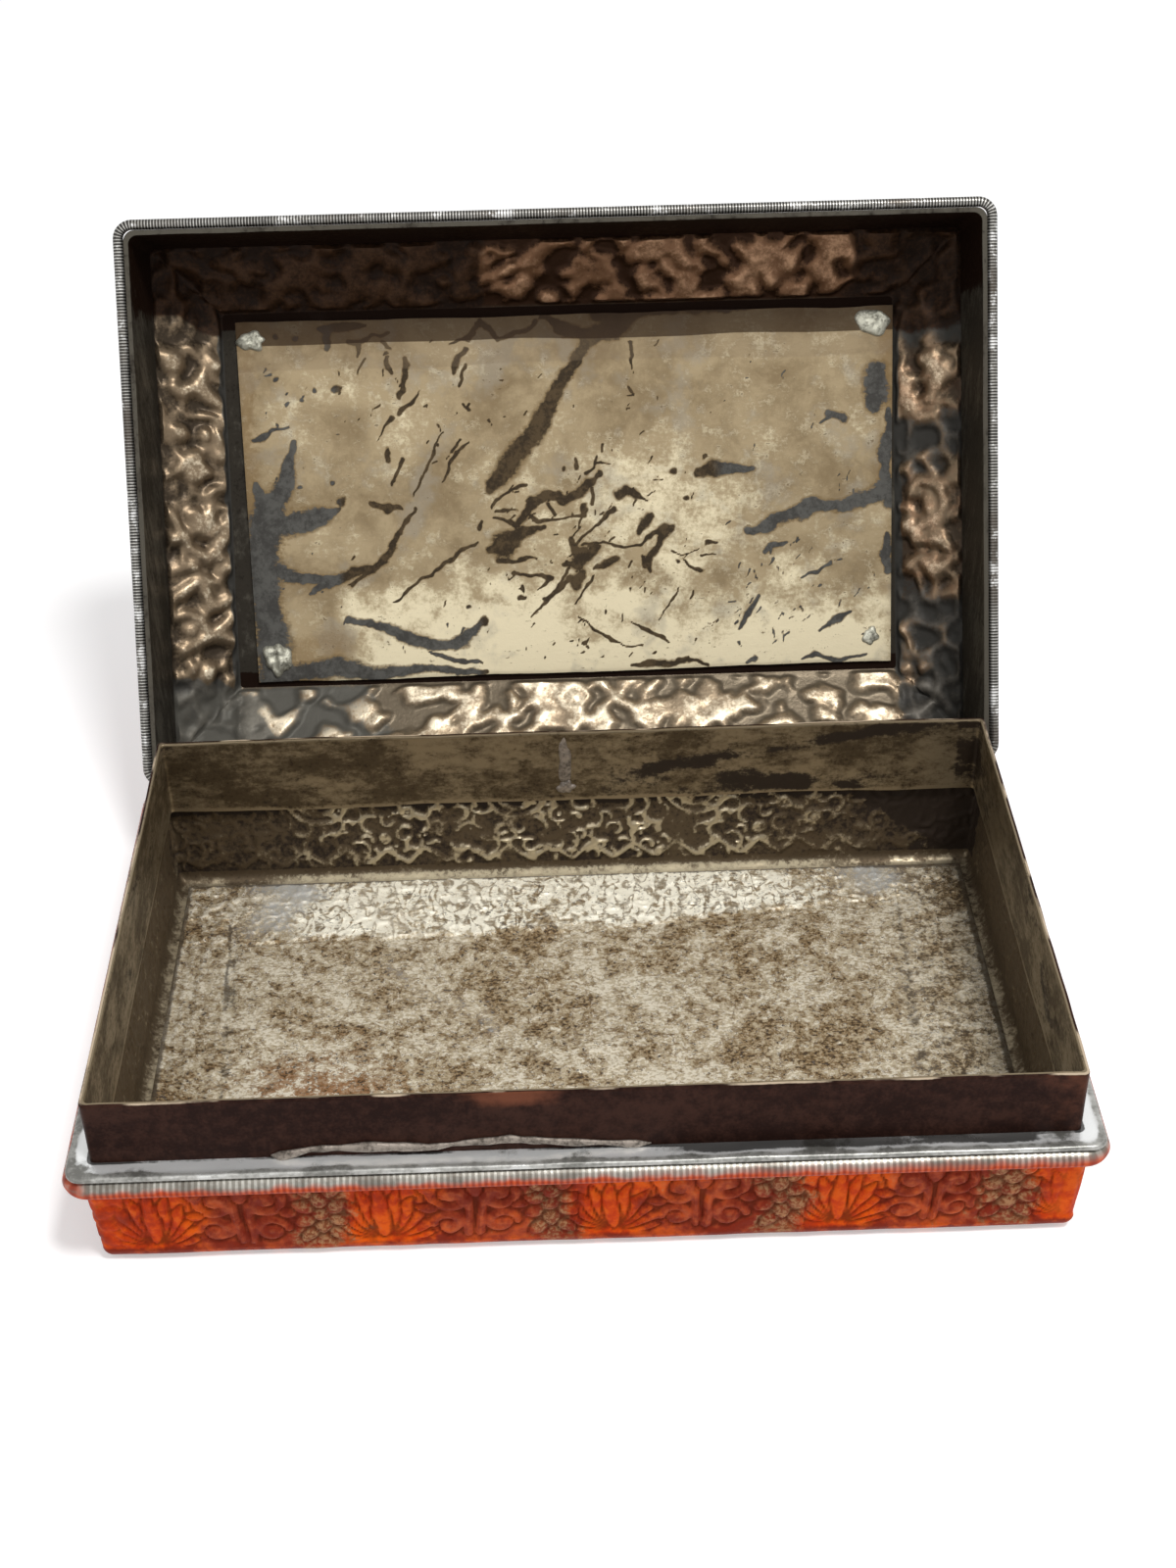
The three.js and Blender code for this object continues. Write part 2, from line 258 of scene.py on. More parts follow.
# %% Drift, ramps and bells
TABLE, PRIMES, OFFSET = 4096, (7919, 104729, 1299709), 500.5


def ease(share):
    """A share from 0 to 1, eased at both ends."""
    return share * share * (3 - 2 * share)


def drift(points, size, seed):
    """Smooth noise from -1 to 1 at points in millimetres, with swells about size across."""
    table = np.random.default_rng(seed).uniform(-1, 1, TABLE)
    spot = np.asarray(points, float) / size + OFFSET
    cell = np.floor(spot).astype(np.int64)
    share = ease(spot - cell)
    total = 0.0
    for step in np.ndindex(2, 2, 2):
        key = sum((cell[..., k] + step[k]) * prime for k, prime in enumerate(PRIMES))
        weight = 1.0
        for k in range(3):
            weight = weight * (share[..., k] if step[k] else 1 - share[..., k])
        total = total + weight * table[key % TABLE]
    return total


def unit(value):
    """Cut to the range from 0 to 1."""
    return np.clip(value, 0, 1)


def ramp(value, start, end):
    """0 at start and 1 at end, straight between them and level beyond."""
    return unit((value - start) / (end - start))


def bell(value, middle, width):
    """1 in the middle, falling away over a width on both sides."""
    return np.exp(-((value - middle) / width) ** 2)


print("drift at the origin:", round(float(drift([0, 0, 0], 10, 1)), 3))

# %% Columns and rings
LONG_SIDE, SHORT_SIDE, BEND = 168, 104, 5
CORNER_GROWTH, CORNER_LEAST = 0.45, 0.8


def columns(step):
    """The columns of a loop: where each sits on the inner rectangle, its outward angle, and its run in mm."""
    sides = [(0, -1, 1, -1, LONG_SIDE / 2), (1, -1, 1, 1, SHORT_SIDE), (1, 1, -1, 1, LONG_SIDE),
             (-1, 1, -1, -1, SHORT_SIDE), (-1, -1, 0, -1, LONG_SIDE / 2)]
    parts = []
    for k, (x0, y0, x1, y1, length) in enumerate(sides):
        angle = 90.0 * (k - 1)
        t = np.arange(round(length / step)) / round(length / step)
        parts.append((x0 + (x1 - x0) * t, y0 + (y1 - y0) * t, np.full(len(t), angle)))
        if k < 4:
            count = max(8, round(BEND / step))
            parts.append((np.full(count, x1), np.full(count, y1), angle + 90 * np.arange(count) / count))
    x, y, angle = (np.concatenate(c) for c in zip(*parts))
    loop = {"x": x, "y": y, "angle": np.radians(angle)}
    xy = ring(loop, 1.5, 0.0)[:, :2]
    gaps = np.linalg.norm(np.roll(xy, -1, axis=0) - xy, axis=1)
    loop["run"] = np.concatenate([[0], np.cumsum(gaps)[:-1]])
    loop["length"] = gaps.sum()
    return loop


def ring(loop, reach, z, out=0.0, up=0.0):
    """One ring of points at a reach and height, pushed out along the outline and up."""
    corner = max(CORNER + CORNER_GROWTH * reach, CORNER_LEAST)
    normal = np.stack([np.cos(loop["angle"]), np.sin(loop["angle"])], -1)
    base = np.stack([loop["x"] * (HALF_X + reach - corner), loop["y"] * (HALF_Y + reach - corner)], -1)
    flat = base + normal * (corner + np.broadcast_to(out, len(base))[:, None])
    return np.column_stack([flat, np.broadcast_to(z + np.asarray(up, float), len(base))])


class Skin:
    """The rings of a shell, gathered one by one, with the marks of their points."""

    def __init__(self, *marks):
        self.rings, self.marks = [], {key: [] for key in marks}

    def add(self, points, **values):
        """Add a ring. A mark that isn't given is 0 on it."""
        self.rings.append(points)
        for key, rows in self.marks.items():
            rows.append(np.broadcast_to(values.get(key, 0.0), len(points)))


FINE, MEDIUM, EDGE = columns(0.45), columns(0.6), columns(0.8)
print("fine loop:", len(FINE["run"]), "columns over", round(FINE["length"], 1), "mm")

# %% Building meshes
def swept_volume(points, faces):
    """A number whose sign says whether faces, as rows of corners, point out of the shape or into it."""
    corners = points[np.asarray(faces)]
    total = 0.0
    for k in range(1, corners.shape[1] - 1):
        total += np.einsum("ij,ij->i", corners[:, 0], np.cross(corners[:, k], corners[:, k + 1])).sum()
    return total


def build(name, points, quads, finish, marks=None, caps=(), lid=False, crease=38):
    """A mesh object from points in mm and faces, turned outside out, with marks at its points."""
    points, quads = np.asarray(points, float), np.asarray(quads)
    if swept_volume(points, quads) + sum(swept_volume(points, [cap]) for cap in caps) < 0:
        quads, caps = quads[:, ::-1], [cap[::-1] for cap in caps]
    place = open_lid(points) if lid else points
    mesh = bpy.data.meshes.new(name)
    mesh.vertices.add(len(place))
    mesh.vertices.foreach_set("co", (place * MM).astype(np.float32).ravel())
    order = np.concatenate([quads.ravel(), *caps]).astype(np.int32)
    sizes = np.array([4] * len(quads) + [len(cap) for cap in caps], np.int32)
    mesh.loops.add(len(order))
    mesh.loops.foreach_set("vertex_index", order)
    mesh.polygons.add(len(sizes))
    mesh.polygons.foreach_set("loop_start", (np.cumsum(sizes) - sizes).astype(np.int32))
    mesh.update(calc_edges=True)
    mesh.validate()
    mesh.polygons.foreach_set("use_smooth", np.ones(len(mesh.polygons), bool))
    mesh.set_sharp_from_angle(angle=math.radians(crease))
    for key, values in (marks or {}).items():
        layer = mesh.attributes.new(key, "FLOAT", "POINT")
        layer.data.foreach_set("value", np.asarray(values, np.float32).ravel())
    mesh.materials.append(finish)
    made = bpy.data.objects.new(name, mesh)
    bpy.context.scene.collection.objects.link(made)
    return made


def lattice(rows, count, wrap=False):
    """Faces between rows of count points that go round. With wrap, the last row joins the first."""
    index = np.arange(rows * count).reshape(rows, count)
    after = np.roll(index, -1, 0)
    quads = np.stack([index, np.roll(index, -1, 1), np.roll(after, -1, 1), after], -1)
    return (quads if wrap else quads[:-1]).reshape(-1, 4), index


def shell(name, skin, finish, lid=False, crease=38):
    """A closed shell through a skin's rings."""
    grid = np.stack(skin.rings)
    quads, _ = lattice(*grid.shape[:2], wrap=True)
    return build(name, grid.reshape(-1, 3), quads, finish, skin.marks, lid=lid, crease=crease)


def tube(name, grid, finish, lid=False, crease=80):
    """Rows of points that go round, closed by a cap at each end."""
    quads, index = lattice(*grid.shape[:2])
    caps = [index[0][::-1], index[-1]]
    return build(name, grid.reshape(-1, 3), quads, finish, caps=caps, lid=lid, crease=crease)


def slab(name, face, back, finish, marks=None, lid=False, crease=38):
    """A closed slab: a grid of points for its face, and a flat back at one height."""
    nx, ny = face.shape[:2]
    index = np.arange(nx * ny).reshape(nx, ny)
    quads = np.stack([index[:-1, :-1], index[1:, :-1], index[1:, 1:], index[:-1, 1:]], -1).reshape(-1, 4)
    edge = np.concatenate([index[:-1, 0], index[-1, :-1], index[:0:-1, -1], index[0, :0:-1]])
    points = face.reshape(-1, 3)
    under = points[edge].copy()
    under[:, 2] = back
    low = np.arange(len(edge)) + nx * ny
    sides = np.stack([edge, low, np.roll(low, -1), np.roll(edge, -1)], -1)
    marks = {k: np.concatenate([np.ravel(v), np.ravel(v)[edge]]) for k, v in (marks or {}).items()}
    points, quads = np.concatenate([points, under]), np.concatenate([quads, sides])
    return build(name, points, quads, finish, marks, caps=[low[::-1]], lid=lid, crease=crease)


def field(half_x, half_y, nx, ny, z=0.0):
    """A level grid of points in mm, centred on the box, with its x and y."""
    gx, gy = np.meshgrid(np.linspace(-half_x, half_x, nx), np.linspace(-half_y, half_y, ny), indexing="ij")
    return gx, gy, np.stack([gx, gy, np.full_like(gx, z)], -1)


def settle(made, body, slot, *nodes):
    """Hang a finished piece on its body, in the place of its measured solids."""
    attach(made, body)
    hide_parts(*nodes)
    made.data.calc_loop_triangles()
    print(made.name, "on", body, "with", len(made.data.loop_triangles), "triangles")


print("mesh helpers are ready")

# %% [markdown]
# ## Chased relief
# The ornament was pushed out from behind and outlined from the front: leaves, buds, scrolls and flowers
# with a narrow groove round each. Heights from 0 in a groove to 1 on a crest are drawn once on a fine
# grid and read back wherever a piece needs them. The motifs are common floral ones of the trade. The
# bare insides carry freer strokes: curls, tents and dots, which a board of the same kind holds.

# %% A drawing board for relief
class Chasing:
    """Heights of one repeat of an ornament, drawn on a grid. It repeats along its length."""

    def __init__(self, long, tall, step=0.1):
        self.long, self.tall, self.step = long, tall, step
        x = (np.arange(round(long / step)) + 0.5) * step
        y = (np.arange(round(tall / step)) + 0.5) * step
        self.x, self.y = np.meshgrid(x, y, indexing="ij")
        self.h = np.zeros_like(self.x)

    def near(self, x, y, turn=0.0):
        """Each grid point as seen from x, y: along a direction, and off to its side."""
        dx = (self.x - x + self.long / 2) % self.long - self.long / 2
        dy, c, s = self.y - y, math.cos(math.radians(turn)), math.sin(math.radians(turn))
        return dx * c + dy * s, dy * c - dx * s

    def leaf(self, x, y, turn, length, width, vein=0.35, groove=0.5):
        """A leaf from its foot at x, y, laid over what is there, with a groove round it."""
        along, off = self.near(x, y, turn)
        t = np.clip(along / length, 1e-3, 1 - 1e-3)
        half = width / 2 * np.sin(np.pi * t ** 0.8) ** 0.75
        wide = np.clip((along + groove) / (length + 2 * groove), 1e-3, 1 - 1e-3)
        wide = (width / 2 + groove) * np.sin(np.pi * wide ** 0.8) ** 0.75
        self.h[(along > 0) & (along < length + groove) & (np.abs(off) < wide)] = 0
        dome = np.sqrt(unit(1 - (off / half) ** 2)) * (0.7 + 0.3 * t)
        ribs = 0.5 + 0.5 * np.cos((along - np.abs(off) * 0.9) * 2 * np.pi / 1.15)
        dome *= 1 - vein * bell(off, 0, 0.26) - 0.4 * vein * ribs * unit(np.abs(off) / half)
        dome[(along <= 0) | (along >= length)] = 0
        self.h = np.maximum(self.h, dome)

    def whorl(self, x, y, count, start, length, width, vein, offset=0.0):
        """Leaves round a point, each starting a little way out from it."""
        for k in range(count):
            angle = 360 * k / count + offset
            a = math.radians(angle)
            self.leaf(x + start * math.cos(a), y + start * math.sin(a), angle, length, width, vein)

    def boss(self, x, y, radius):
        dx, dy = self.near(x, y)
        self.h = np.maximum(self.h, np.sqrt(unit(1 - (dx * dx + dy * dy) / radius ** 2)))

    def stroke(self, path, width):
        """A round-backed stroke along a path, of one width or a width at each point."""
        for (x, y), wide in zip(path, np.broadcast_to(width, len(path))):
            i = np.arange(round((x - wide) / self.step), round((x + wide) / self.step) + 1)
            j = np.arange(round((y - wide) / self.step), round((y + wide) / self.step) + 1)
            j = j[(j >= 0) & (j < self.h.shape[1])]
            spot = np.ix_(i % self.h.shape[0], j)
            dx, dy = (i + 0.5) * self.step - x, (j + 0.5) * self.step - y
            dome = np.sqrt(unit(1 - (dx[:, None] ** 2 + dy[None, :] ** 2) / (wide / 2) ** 2))
            self.h[spot] = np.maximum(self.h[spot], 0.92 * dome)

    def scroll(self, x, y, start, radius, turns, width, hand=1):
        """A stroke that winds in from radius, starting at an angle, to a bud at the middle."""
        t = np.linspace(0, 1, round(40 * turns))
        angle = np.radians(start) + hand * t * turns * 2 * np.pi
        r = radius * (1 - 0.72 * t)
        path = np.column_stack([x + r * np.cos(angle), y + r * np.sin(angle)])
        self.stroke(path, width * (0.8 + 0.3 * np.sin(np.pi * t)))
        self.boss(x, y, width * 0.62)

    def outline(self, groove, field):
        """Cut a groove round all that is drawn, and lift the field beyond it."""
        drawn = self.h > 0.03
        grown = drawn.copy()
        for _ in range(max(1, round(groove / self.step))):
            wide = grown | np.roll(grown, 1, 0) | np.roll(grown, -1, 0)
            wide[:, 1:] |= grown[:, :-1]
            wide[:, :-1] |= grown[:, 1:]
            grown = wide
        self.h = np.where(drawn, self.h, np.where(grown, 0.0, field))

    def soften(self, times):
        self.h = soften(self.h.T, times).T

    def read(self, x, y):
        """Heights at points, with x wrapped round the repeat."""
        u = (np.asarray(x) % self.long) / self.step - 0.5
        v = np.clip(np.asarray(y) / self.step - 0.5, 0, self.h.shape[1] - 1.001)
        i, j = np.floor(u).astype(int), np.floor(v).astype(int)
        fu, fv = u - i, v - j
        i0, i1 = i % self.h.shape[0], (i + 1) % self.h.shape[0]
        low = self.h[i0, j] * (1 - fu) + self.h[i1, j] * fu
        high = self.h[i0, j + 1] * (1 - fu) + self.h[i1, j + 1] * fu
        return low * (1 - fv) + high * fv


def soften(rows, times):
    """Blur rows of heights that go round, so that no crease is sharper than hammered sheet can be."""
    for _ in range(times):
        rows = (rows + np.roll(rows, 1, 1) + np.roll(rows, -1, 1)) / 3
        edge = np.pad(rows, ((1, 1), (0, 0)), mode="edge")
        rows = (edge[:-2] + edge[1:-1] + edge[2:]) / 3
    return rows


print("the drawing board is ready")

# %% Paths, lumps and curls
def path_field(x, y, paths):
    """1 on the middle line of a path, falling to 0 at twice its half width. A path is a list of points
    with the half width at each."""
    best = np.zeros_like(x)
    for path in paths:
        for (x0, y0, w0), (x1, y1, w1) in zip(path, path[1:]):
            dx, dy = x1 - x0, y1 - y0
            t = unit(((x - x0) * dx + (y - y0) * dy) / (dx * dx + dy * dy + 1e-9))
            gap = np.hypot(x - x0 - t * dx, y - y0 - t * dy)
            best = np.maximum(best, unit(1 - gap / (2 * (w0 + t * (w1 - w0)))))
    return best


def lumps(x, y, size, seed):
    """Irregular fields about size across, some of them joined. Gives each point's distance from its
    field's edge, and a level from 0 to 1 that the whole field shares."""
    table = np.random.default_rng(seed).uniform(0, 1, (4, TABLE))

    def key(i, j):
        return (i * PRIMES[0] + j * PRIMES[1]) % TABLE

    cx, cy = np.floor(x / size).astype(int), np.floor(y / size).astype(int)
    fields = []
    for i, j in np.ndindex(5, 5):
        i, j = cx + i - 2, cy + j - 2
        own = key(i, j)
        join = table[2][own]
        owner = np.where(join < 0.3, key(i + 1, j), own)
        owner = np.where((join >= 0.3) & (join < 0.5), key(i, j + 1), owner)
        dx, dy = (c - (k + 0.12 + 0.76 * table[n][own]) * size for n, (c, k) in enumerate([(x, i), (y, j)]))
        fields.append((np.hypot(dx, dy), owner))
    near, own = fields[0]
    for far, owner in fields[1:]:
        own, near = np.where(far < near, owner, own), np.minimum(far, near)
    other = np.minimum.reduce([np.where(owner == own, 1e9, far) for far, owner in fields])
    return (other - near) / 2, table[3][own]


def curls(long, tall, seed, gap, width, radius, rings=0.2):
    """A board filled with comma-shaped curls and a few dotted rings, as a free hand sets them."""
    board, rng, spots = Chasing(long, tall), np.random.default_rng(seed), []
    for _ in range(3000):
        x, y = rng.uniform(0, long), rng.uniform(0.8, tall - 0.8)
        if all(math.hypot((x - a + long / 2) % long - long / 2, y - b) > gap for a, b in spots):
            spots.append((x, y))
    t = np.linspace(0, 1, 36)
    for x, y in spots:
        size, start = rng.uniform(*radius), rng.uniform(0, math.tau)
        angle = start + t * rng.uniform(1.6, 4.2) * rng.choice([-1, 1])
        if rng.uniform() < rings:
            angle = t * math.tau
            board.boss(x, y, width * 0.5)
        path = np.column_stack([x + size * np.cos(angle), y + size * np.sin(angle)])
        board.stroke(path, width * (1.15 - 0.55 * t))
    board.soften(2)
    return board


print("paths, lumps and curls are ready")

# %% [markdown]
# ### The wall's repeat
# Along the wall a fan of veined leaves, two pairs of scrolls and a fat-petalled flower follow each other
# fourteen times. The fan was painted orange, the scrolls red, and the flower is worn to the metal. A
# picture of relief could be painted by hand, but motifs set down by a few calls can be moved and resized.

# %% Draw one repeat of the wall
REPEATS = 14
REPEAT = FINE["length"] / REPEATS
SCROLLS_X, FLOWER_X, FLOWER_Y = 16.0, 29.6, 7.6
wall_chasing = Chasing(REPEAT, 15.6)
for angle, length in [(6, 8.6), (24, 10.4), (42, 10.8), (59, 11.8), (75, 12.6), (90, 13.0)]:
    wall_chasing.leaf(0, 0.8, angle, length, 2.9, vein=0.3)
    wall_chasing.leaf(0, 0.8, 180 - angle, length, 2.9, vein=0.3)
for sign in (-1, 1):
    wall_chasing.boss(sign * 8.3, 13.0, 1.5)
    wall_chasing.scroll(SCROLLS_X + sign * 4.3, 10.9, 90 - sign * 60, 3.3, 1.1, 1.9, -sign)
    wall_chasing.scroll(SCROLLS_X + sign * 4.6, 4.0, 90 - sign * 90, 2.9, 1.1, 1.8, sign)
    stem = [(SCROLLS_X + sign * (0.9 + 0.5 * t), 1.2 + 9.4 * t) for t in np.linspace(0, 1, 40)]
    wall_chasing.stroke(stem, 1.5)
    wall_chasing.leaf(SCROLLS_X + sign * 6.6, 7.6, 90 - sign * 80, 3.4, 2.2, vein=0.2)
    wall_chasing.leaf(FLOWER_X + sign * 1.2, 12.0, 90 - sign * 42, 4.2, 2.6, vein=0.2)
    wall_chasing.leaf(FLOWER_X + sign * 1.2, 3.2, -90 + sign * 48, 4.0, 2.6, vein=0.2)
wall_chasing.leaf(SCROLLS_X, 10.6, 90, 4.8, 3.0, vein=0.25)
wall_chasing.boss(FLOWER_X, FLOWER_Y, 1.5)
wall_chasing.whorl(FLOWER_X, FLOWER_Y, 6, 1.8, 3.5, 3.1, vein=0.15, offset=30)
wall_chasing.outline(0.55, 0.5)
wall_chasing.soften(4)
print("wall repeat:", round(REPEAT, 2), "mm, mean height", round(float(wall_chasing.h.mean()), 2))

# %% [markdown]
# ## Finishes for old silver and lacquer
# One recipe covers the dull silver: a light metal where hands rub, a brown tarnish in patches of several
# sizes, a black residue that gathers in hollows, painted shade in the same dark colour, a painted sheen,
# and fine scratches. The mesh supplies marks: crest says how far a point stands proud, the grime and shade
# mark says where residue was left and where shade is painted in, and bright says where a painted sheen
# lies. Noise breaks all of them into ragged edges.

# %% A recipe for tarnished silver
def old_silver(name, light, brown, dark, patch, brown_share, rough, metal=0.6, streak=(1, 1, 1),
               grime_colour=(46, 45, 43), gloss=0.2):
    """Light metal under brown tarnish, in patches of a size and a share, with dark specks, grime,
    painted shade and a painted sheen.
    """
    f = Finish(name)
    crest, grime, bright = f.marks("crest", "grime", "bright")
    broad = f.noise(patch, 5, 0.62, streak, shift=3.0, warp=0.3)
    small = f.noise(patch * 0.2, 5, 0.68, streak, shift=9.0)
    fine = f.noise(0.8, 4, 0.65, shift=17.0)
    scratch = f.noise(0.35, 2, 0.5, stretch=(14, 2, 6), shift=5.0)
    tone = broad * 0.45 + small * 0.4 + fine * 0.15 + (0.5 - crest) * 0.3
    centre = 0.5 + (0.5 - brown_share) * 0.3
    tarnish = tone.rise(centre - 0.09, centre + 0.09)
    specks = (fine * 0.45 + small * 0.4 + broad * 0.2).rise(0.57, 0.65)
    # The grime and shade mark lays residue and painted shade in one dark colour.
    darkened = (grime + small.sway(0.8) + fine.sway(0.4)).rise(0.36, 0.62)
    # Where bright is set, a light colour is painted on as a sheen.
    painted_sheen = (bright + small.sway(2.2) + fine.sway(1.8)).rise(0.6, 1.2)
    f.colour = f.blend(light, brown, tarnish)
    f.layer(dark, specks * 0.6)
    f.layer(grime_colour, darkened)
    f.layer((196, 185, 158), bright * 0.8 * painted_sheen)
    rough = rough + tarnish * 0.16 + darkened * 0.12 - crest * 0.06 + fine.sway(0.16) + bright * 0.2
    tooth = fine * 0.4 + scratch * 0.25 + small * 0.6 - darkened * 0.1
    return f.close(metal - darkened * (metal * 0.6), rough, f.bump(tooth, 0.18, 0.6), gloss)


inside_silver = old_silver("tray_inside_silver", (176, 163, 137), (88, 75, 58), (44, 36, 29), 6, 0.55, 0.4,
                           grime_colour=(43, 34, 27))
collar_silver = old_silver("collar_brown_silver", (130, 116, 93), (74, 62, 45), (34, 27, 20), 9, 0.5, 0.38,
                           streak=(1.7, 1.7, 0.9), grime_colour=(40, 31, 23))
skirt_silver = old_silver("lid_skirt_dark_silver", (76, 72, 64), (48, 44, 38), (28, 24, 20), 9, 0.55, 0.42,
                          0.35, streak=(1, 1, 2.5), grime_colour=(25, 14, 8), gloss=0.05)
hinge_silver = old_silver("hinge_brown_silver", (130, 112, 88), (84, 68, 52), (40, 34, 28), 5, 0.5, 0.45)
print("old silver finishes:", [m.name for m in bpy.data.materials if "silver" in m.name])

# %% [markdown]
# The outside of the wall and lid is painted lacquer over the chased silver. Orange, red and bare tan
# follow each other with soft edges, the grooves hold old brown dirt, and crests and edges are rubbed.
# The mesh carries the paint as two marks, orange and bare, because the painter followed the motifs.

# %% Painted lacquer
def lacquer_finish(name):
    """Red and orange lacquer, worn to tan metal, rubbed on crests and dirty in grooves."""
    f = Finish(name)
    crest, orange, bare = f.marks("crest", "orange", "bare")
    broad, small = f.noise(11, 3, 0.6, shift=2.0), f.noise(2.6, 4, 0.6, shift=7.0)
    fine = f.noise(0.7, 3, 0.6, shift=13.0)
    cloud = small * 0.6 + broad * 0.4
    red = f.blend((122, 36, 14), (164, 68, 36), cloud.rise(0.42, 0.6))
    warm = f.blend((196, 58, 1), (220, 90, 6), cloud.rise(0.42, 0.58))
    tan = f.blend((108, 68, 42), (160, 126, 90), fine.rise(0.4, 0.6))
    worn = (bare * 0.8 + small.sway(1.9) + broad.sway(1.2) + fine.sway(0.6)).rise(0.36, 0.92)
    rub = (crest * 0.8 + small * 0.5 + fine * 0.3).rise(1.0, 1.3)
    dirt = ((1 - crest) + small.sway(0.7) + fine.sway(0.35)).rise(0.5, 1.05)
    f.colour = f.blend(red, warm, (orange + small.sway(1.5) + broad.sway(1.8)).rise(0.1, 1.0))
    f.layer(tan, worn * 0.85)
    f.layer((196, 112, 66), rub * 0.35)
    f.layer((78, 26, 9), dirt * 0.75)
    rough = 0.52 + dirt * 0.25 + fine.sway(0.2)
    return f.close(worn * 0.3, rough, f.bump(small * 0.6 + fine * 0.4, 0.16, 0.7), gloss=0.1)


lacquer = lacquer_finish("painted_lacquer")
print("lacquer finish:", lacquer.name)

# %% [markdown]
# ## Tray wall
# The wall is one strip of sheet, leaning out a little and turned under at the foot. Outside it carries
# the chased and painted ornament. Inside, free strokes stand up as thin bright lines on a dark ground.
# Each face is its own thin shell, so that both can be dense without one mesh growing too heavy.

# %% The wall's section and its relief
WALL_LEVELS = np.arange(WALL_TOP, FOOT_RADIUS, -0.45)
CHASED_START, CHASED_FOOT, CHASED_TOP = 4, 3.3, 19.2


def wall_line(z):
    """The reach of the wall's outside at a height."""
    share = (z - FOOT_RADIUS) / (SHELF_UNDER - FOOT_RADIUS)
    return WALL_FOOT_REACH + (WALL_TOP_REACH - WALL_FOOT_REACH) * share


def turned_foot(radius, count):
    """Angle, reach and height of the rings of the wall's turned foot."""
    for angle in np.radians(np.linspace(84, 0, count)):
        yield angle, FOOT_REACH + radius * math.sin(angle), FOOT_RADIUS - radius * math.cos(angle)


def wall_back(inset, low, step, rise):
    """Reach and height of the rings inside the sheet that close a face of the wall."""
    foot = [(FOOT_REACH, low), (FOOT_REACH + step, rise)]
    return foot + [(WALL_FOOT_REACH - inset, FOOT_RADIUS), (WALL_TOP_REACH - inset, WALL_TOP)]


def corner_fade(spot):
    """1 along the sides and 0.3 at the upright corners, where bent sheet takes little chasing."""
    away = np.maximum(HALF_X - np.abs(spot[:, 0]), HALF_Y - np.abs(spot[:, 1]))
    return np.clip(0.3 + (away - 1.5) / 6, 0.3, 1)


def wall_heights(loop, z):
    """The drawing's heights round one ring, a little unsteady as hand work is."""
    spot = ring(loop, 1.0, z)
    run = loop["run"] - CHASED_START + 0.8 * (drift(spot, 9, 11) + 0.5 * drift(spot, 3, 15))
    h = wall_chasing.read(run, z - CHASED_FOOT + 0.55 * drift(spot, 7, 12) + 0.25 * drift(spot, 2.6, 16))
    return 0.5 + (h - 0.5) * corner_fade(spot), spot


def wall_paint(loop, spot):
    """How orange and how bare the paint is at each column."""
    x = (loop["run"] - CHASED_START + 2.6 * drift(spot, 7, 13)) % REPEAT
    fan = np.minimum(x, REPEAT - x)
    corner = 1 - corner_fade(spot)
    return unit((12.0 - fan) / 8.5 + corner), unit((7.6 - np.abs(x - FLOWER_X)) / 5.6 - corner)


print("wall leans from reach", WALL_FOOT_REACH, "to", WALL_TOP_REACH)

# %% The painted outside of the wall
skin = Skin("crest", "orange", "bare")
for z in WALL_LEVELS:
    h, spot = wall_heights(FINE, z)
    fade = ramp(z, CHASED_FOOT - 0.4, CHASED_FOOT + 0.8) * ramp(z, CHASED_TOP, CHASED_TOP - 0.8)
    band = 0.5 + (h - 0.5) * fade
    orange, bare = wall_paint(FINE, spot)
    skin.add(ring(FINE, wall_line(z), z, out=-0.42 + 0.95 * band), crest=np.where(fade > 0.02, band, 0.6),
             orange=orange * (0.75 + 0.25 * fade), bare=bare)
for angle, reach, z in turned_foot(FOOT_RADIUS, 12):
    spot = ring(FINE, reach, z)
    lip = 0.22 * math.sin(angle) ** 2 + 0.12 * drift(spot, 5, 21) * math.sin(angle)
    bare = unit(wall_paint(FINE, spot)[1] * 0.9 + 0.3 * drift(spot, 7, 22))
    skin.add(ring(FINE, reach, z, out=lip), crest=0.72 if angle < 1.35 else 0.35, orange=0.32, bare=bare)
for reach, z in wall_back(0.55, 0.5, 1.9, 1.3):
    skin.add(ring(FINE, reach, z))
settle(shell("wall_painted_outside", skin, lacquer), "tray", "lacquer", "tray_wall")

# %% [markdown]
# The inside was worked freely, so its strokes have a board of their own: scattered curls, small dots, a
# row of tents along the foot and a few double arcs that hang from above.

# %% Draw the strokes of the bare inside
strokes = curls(REPEAT * 2, 16.4, 5, 2.9, 1.0, (0.9, 2.5), rings=0.07)
rng = np.random.default_rng(6)
for x, y in zip(rng.uniform(0, REPEAT * 2, 70), rng.uniform(1, 15, 70)):
    strokes.boss(x, y, 0.42)
for k in range(9):
    strokes.stroke([(k * 9.0 + s * 4.2, 0.9 + 3.4 * (1 - abs(s))) for s in np.linspace(-1, 1, 40)], 1.15)
for x in (14.0, 52.0):
    for radius in (4.0, 6.2):
        bow = np.linspace(-math.pi, 0, 60)
        strokes.stroke([(x + radius * math.cos(a), 17.5 + radius * math.sin(a)) for a in bow], 1.1)
strokes.soften(2)
print("strokes of the inside:", round(strokes.long, 1), "by", round(strokes.tall, 1), "mm")

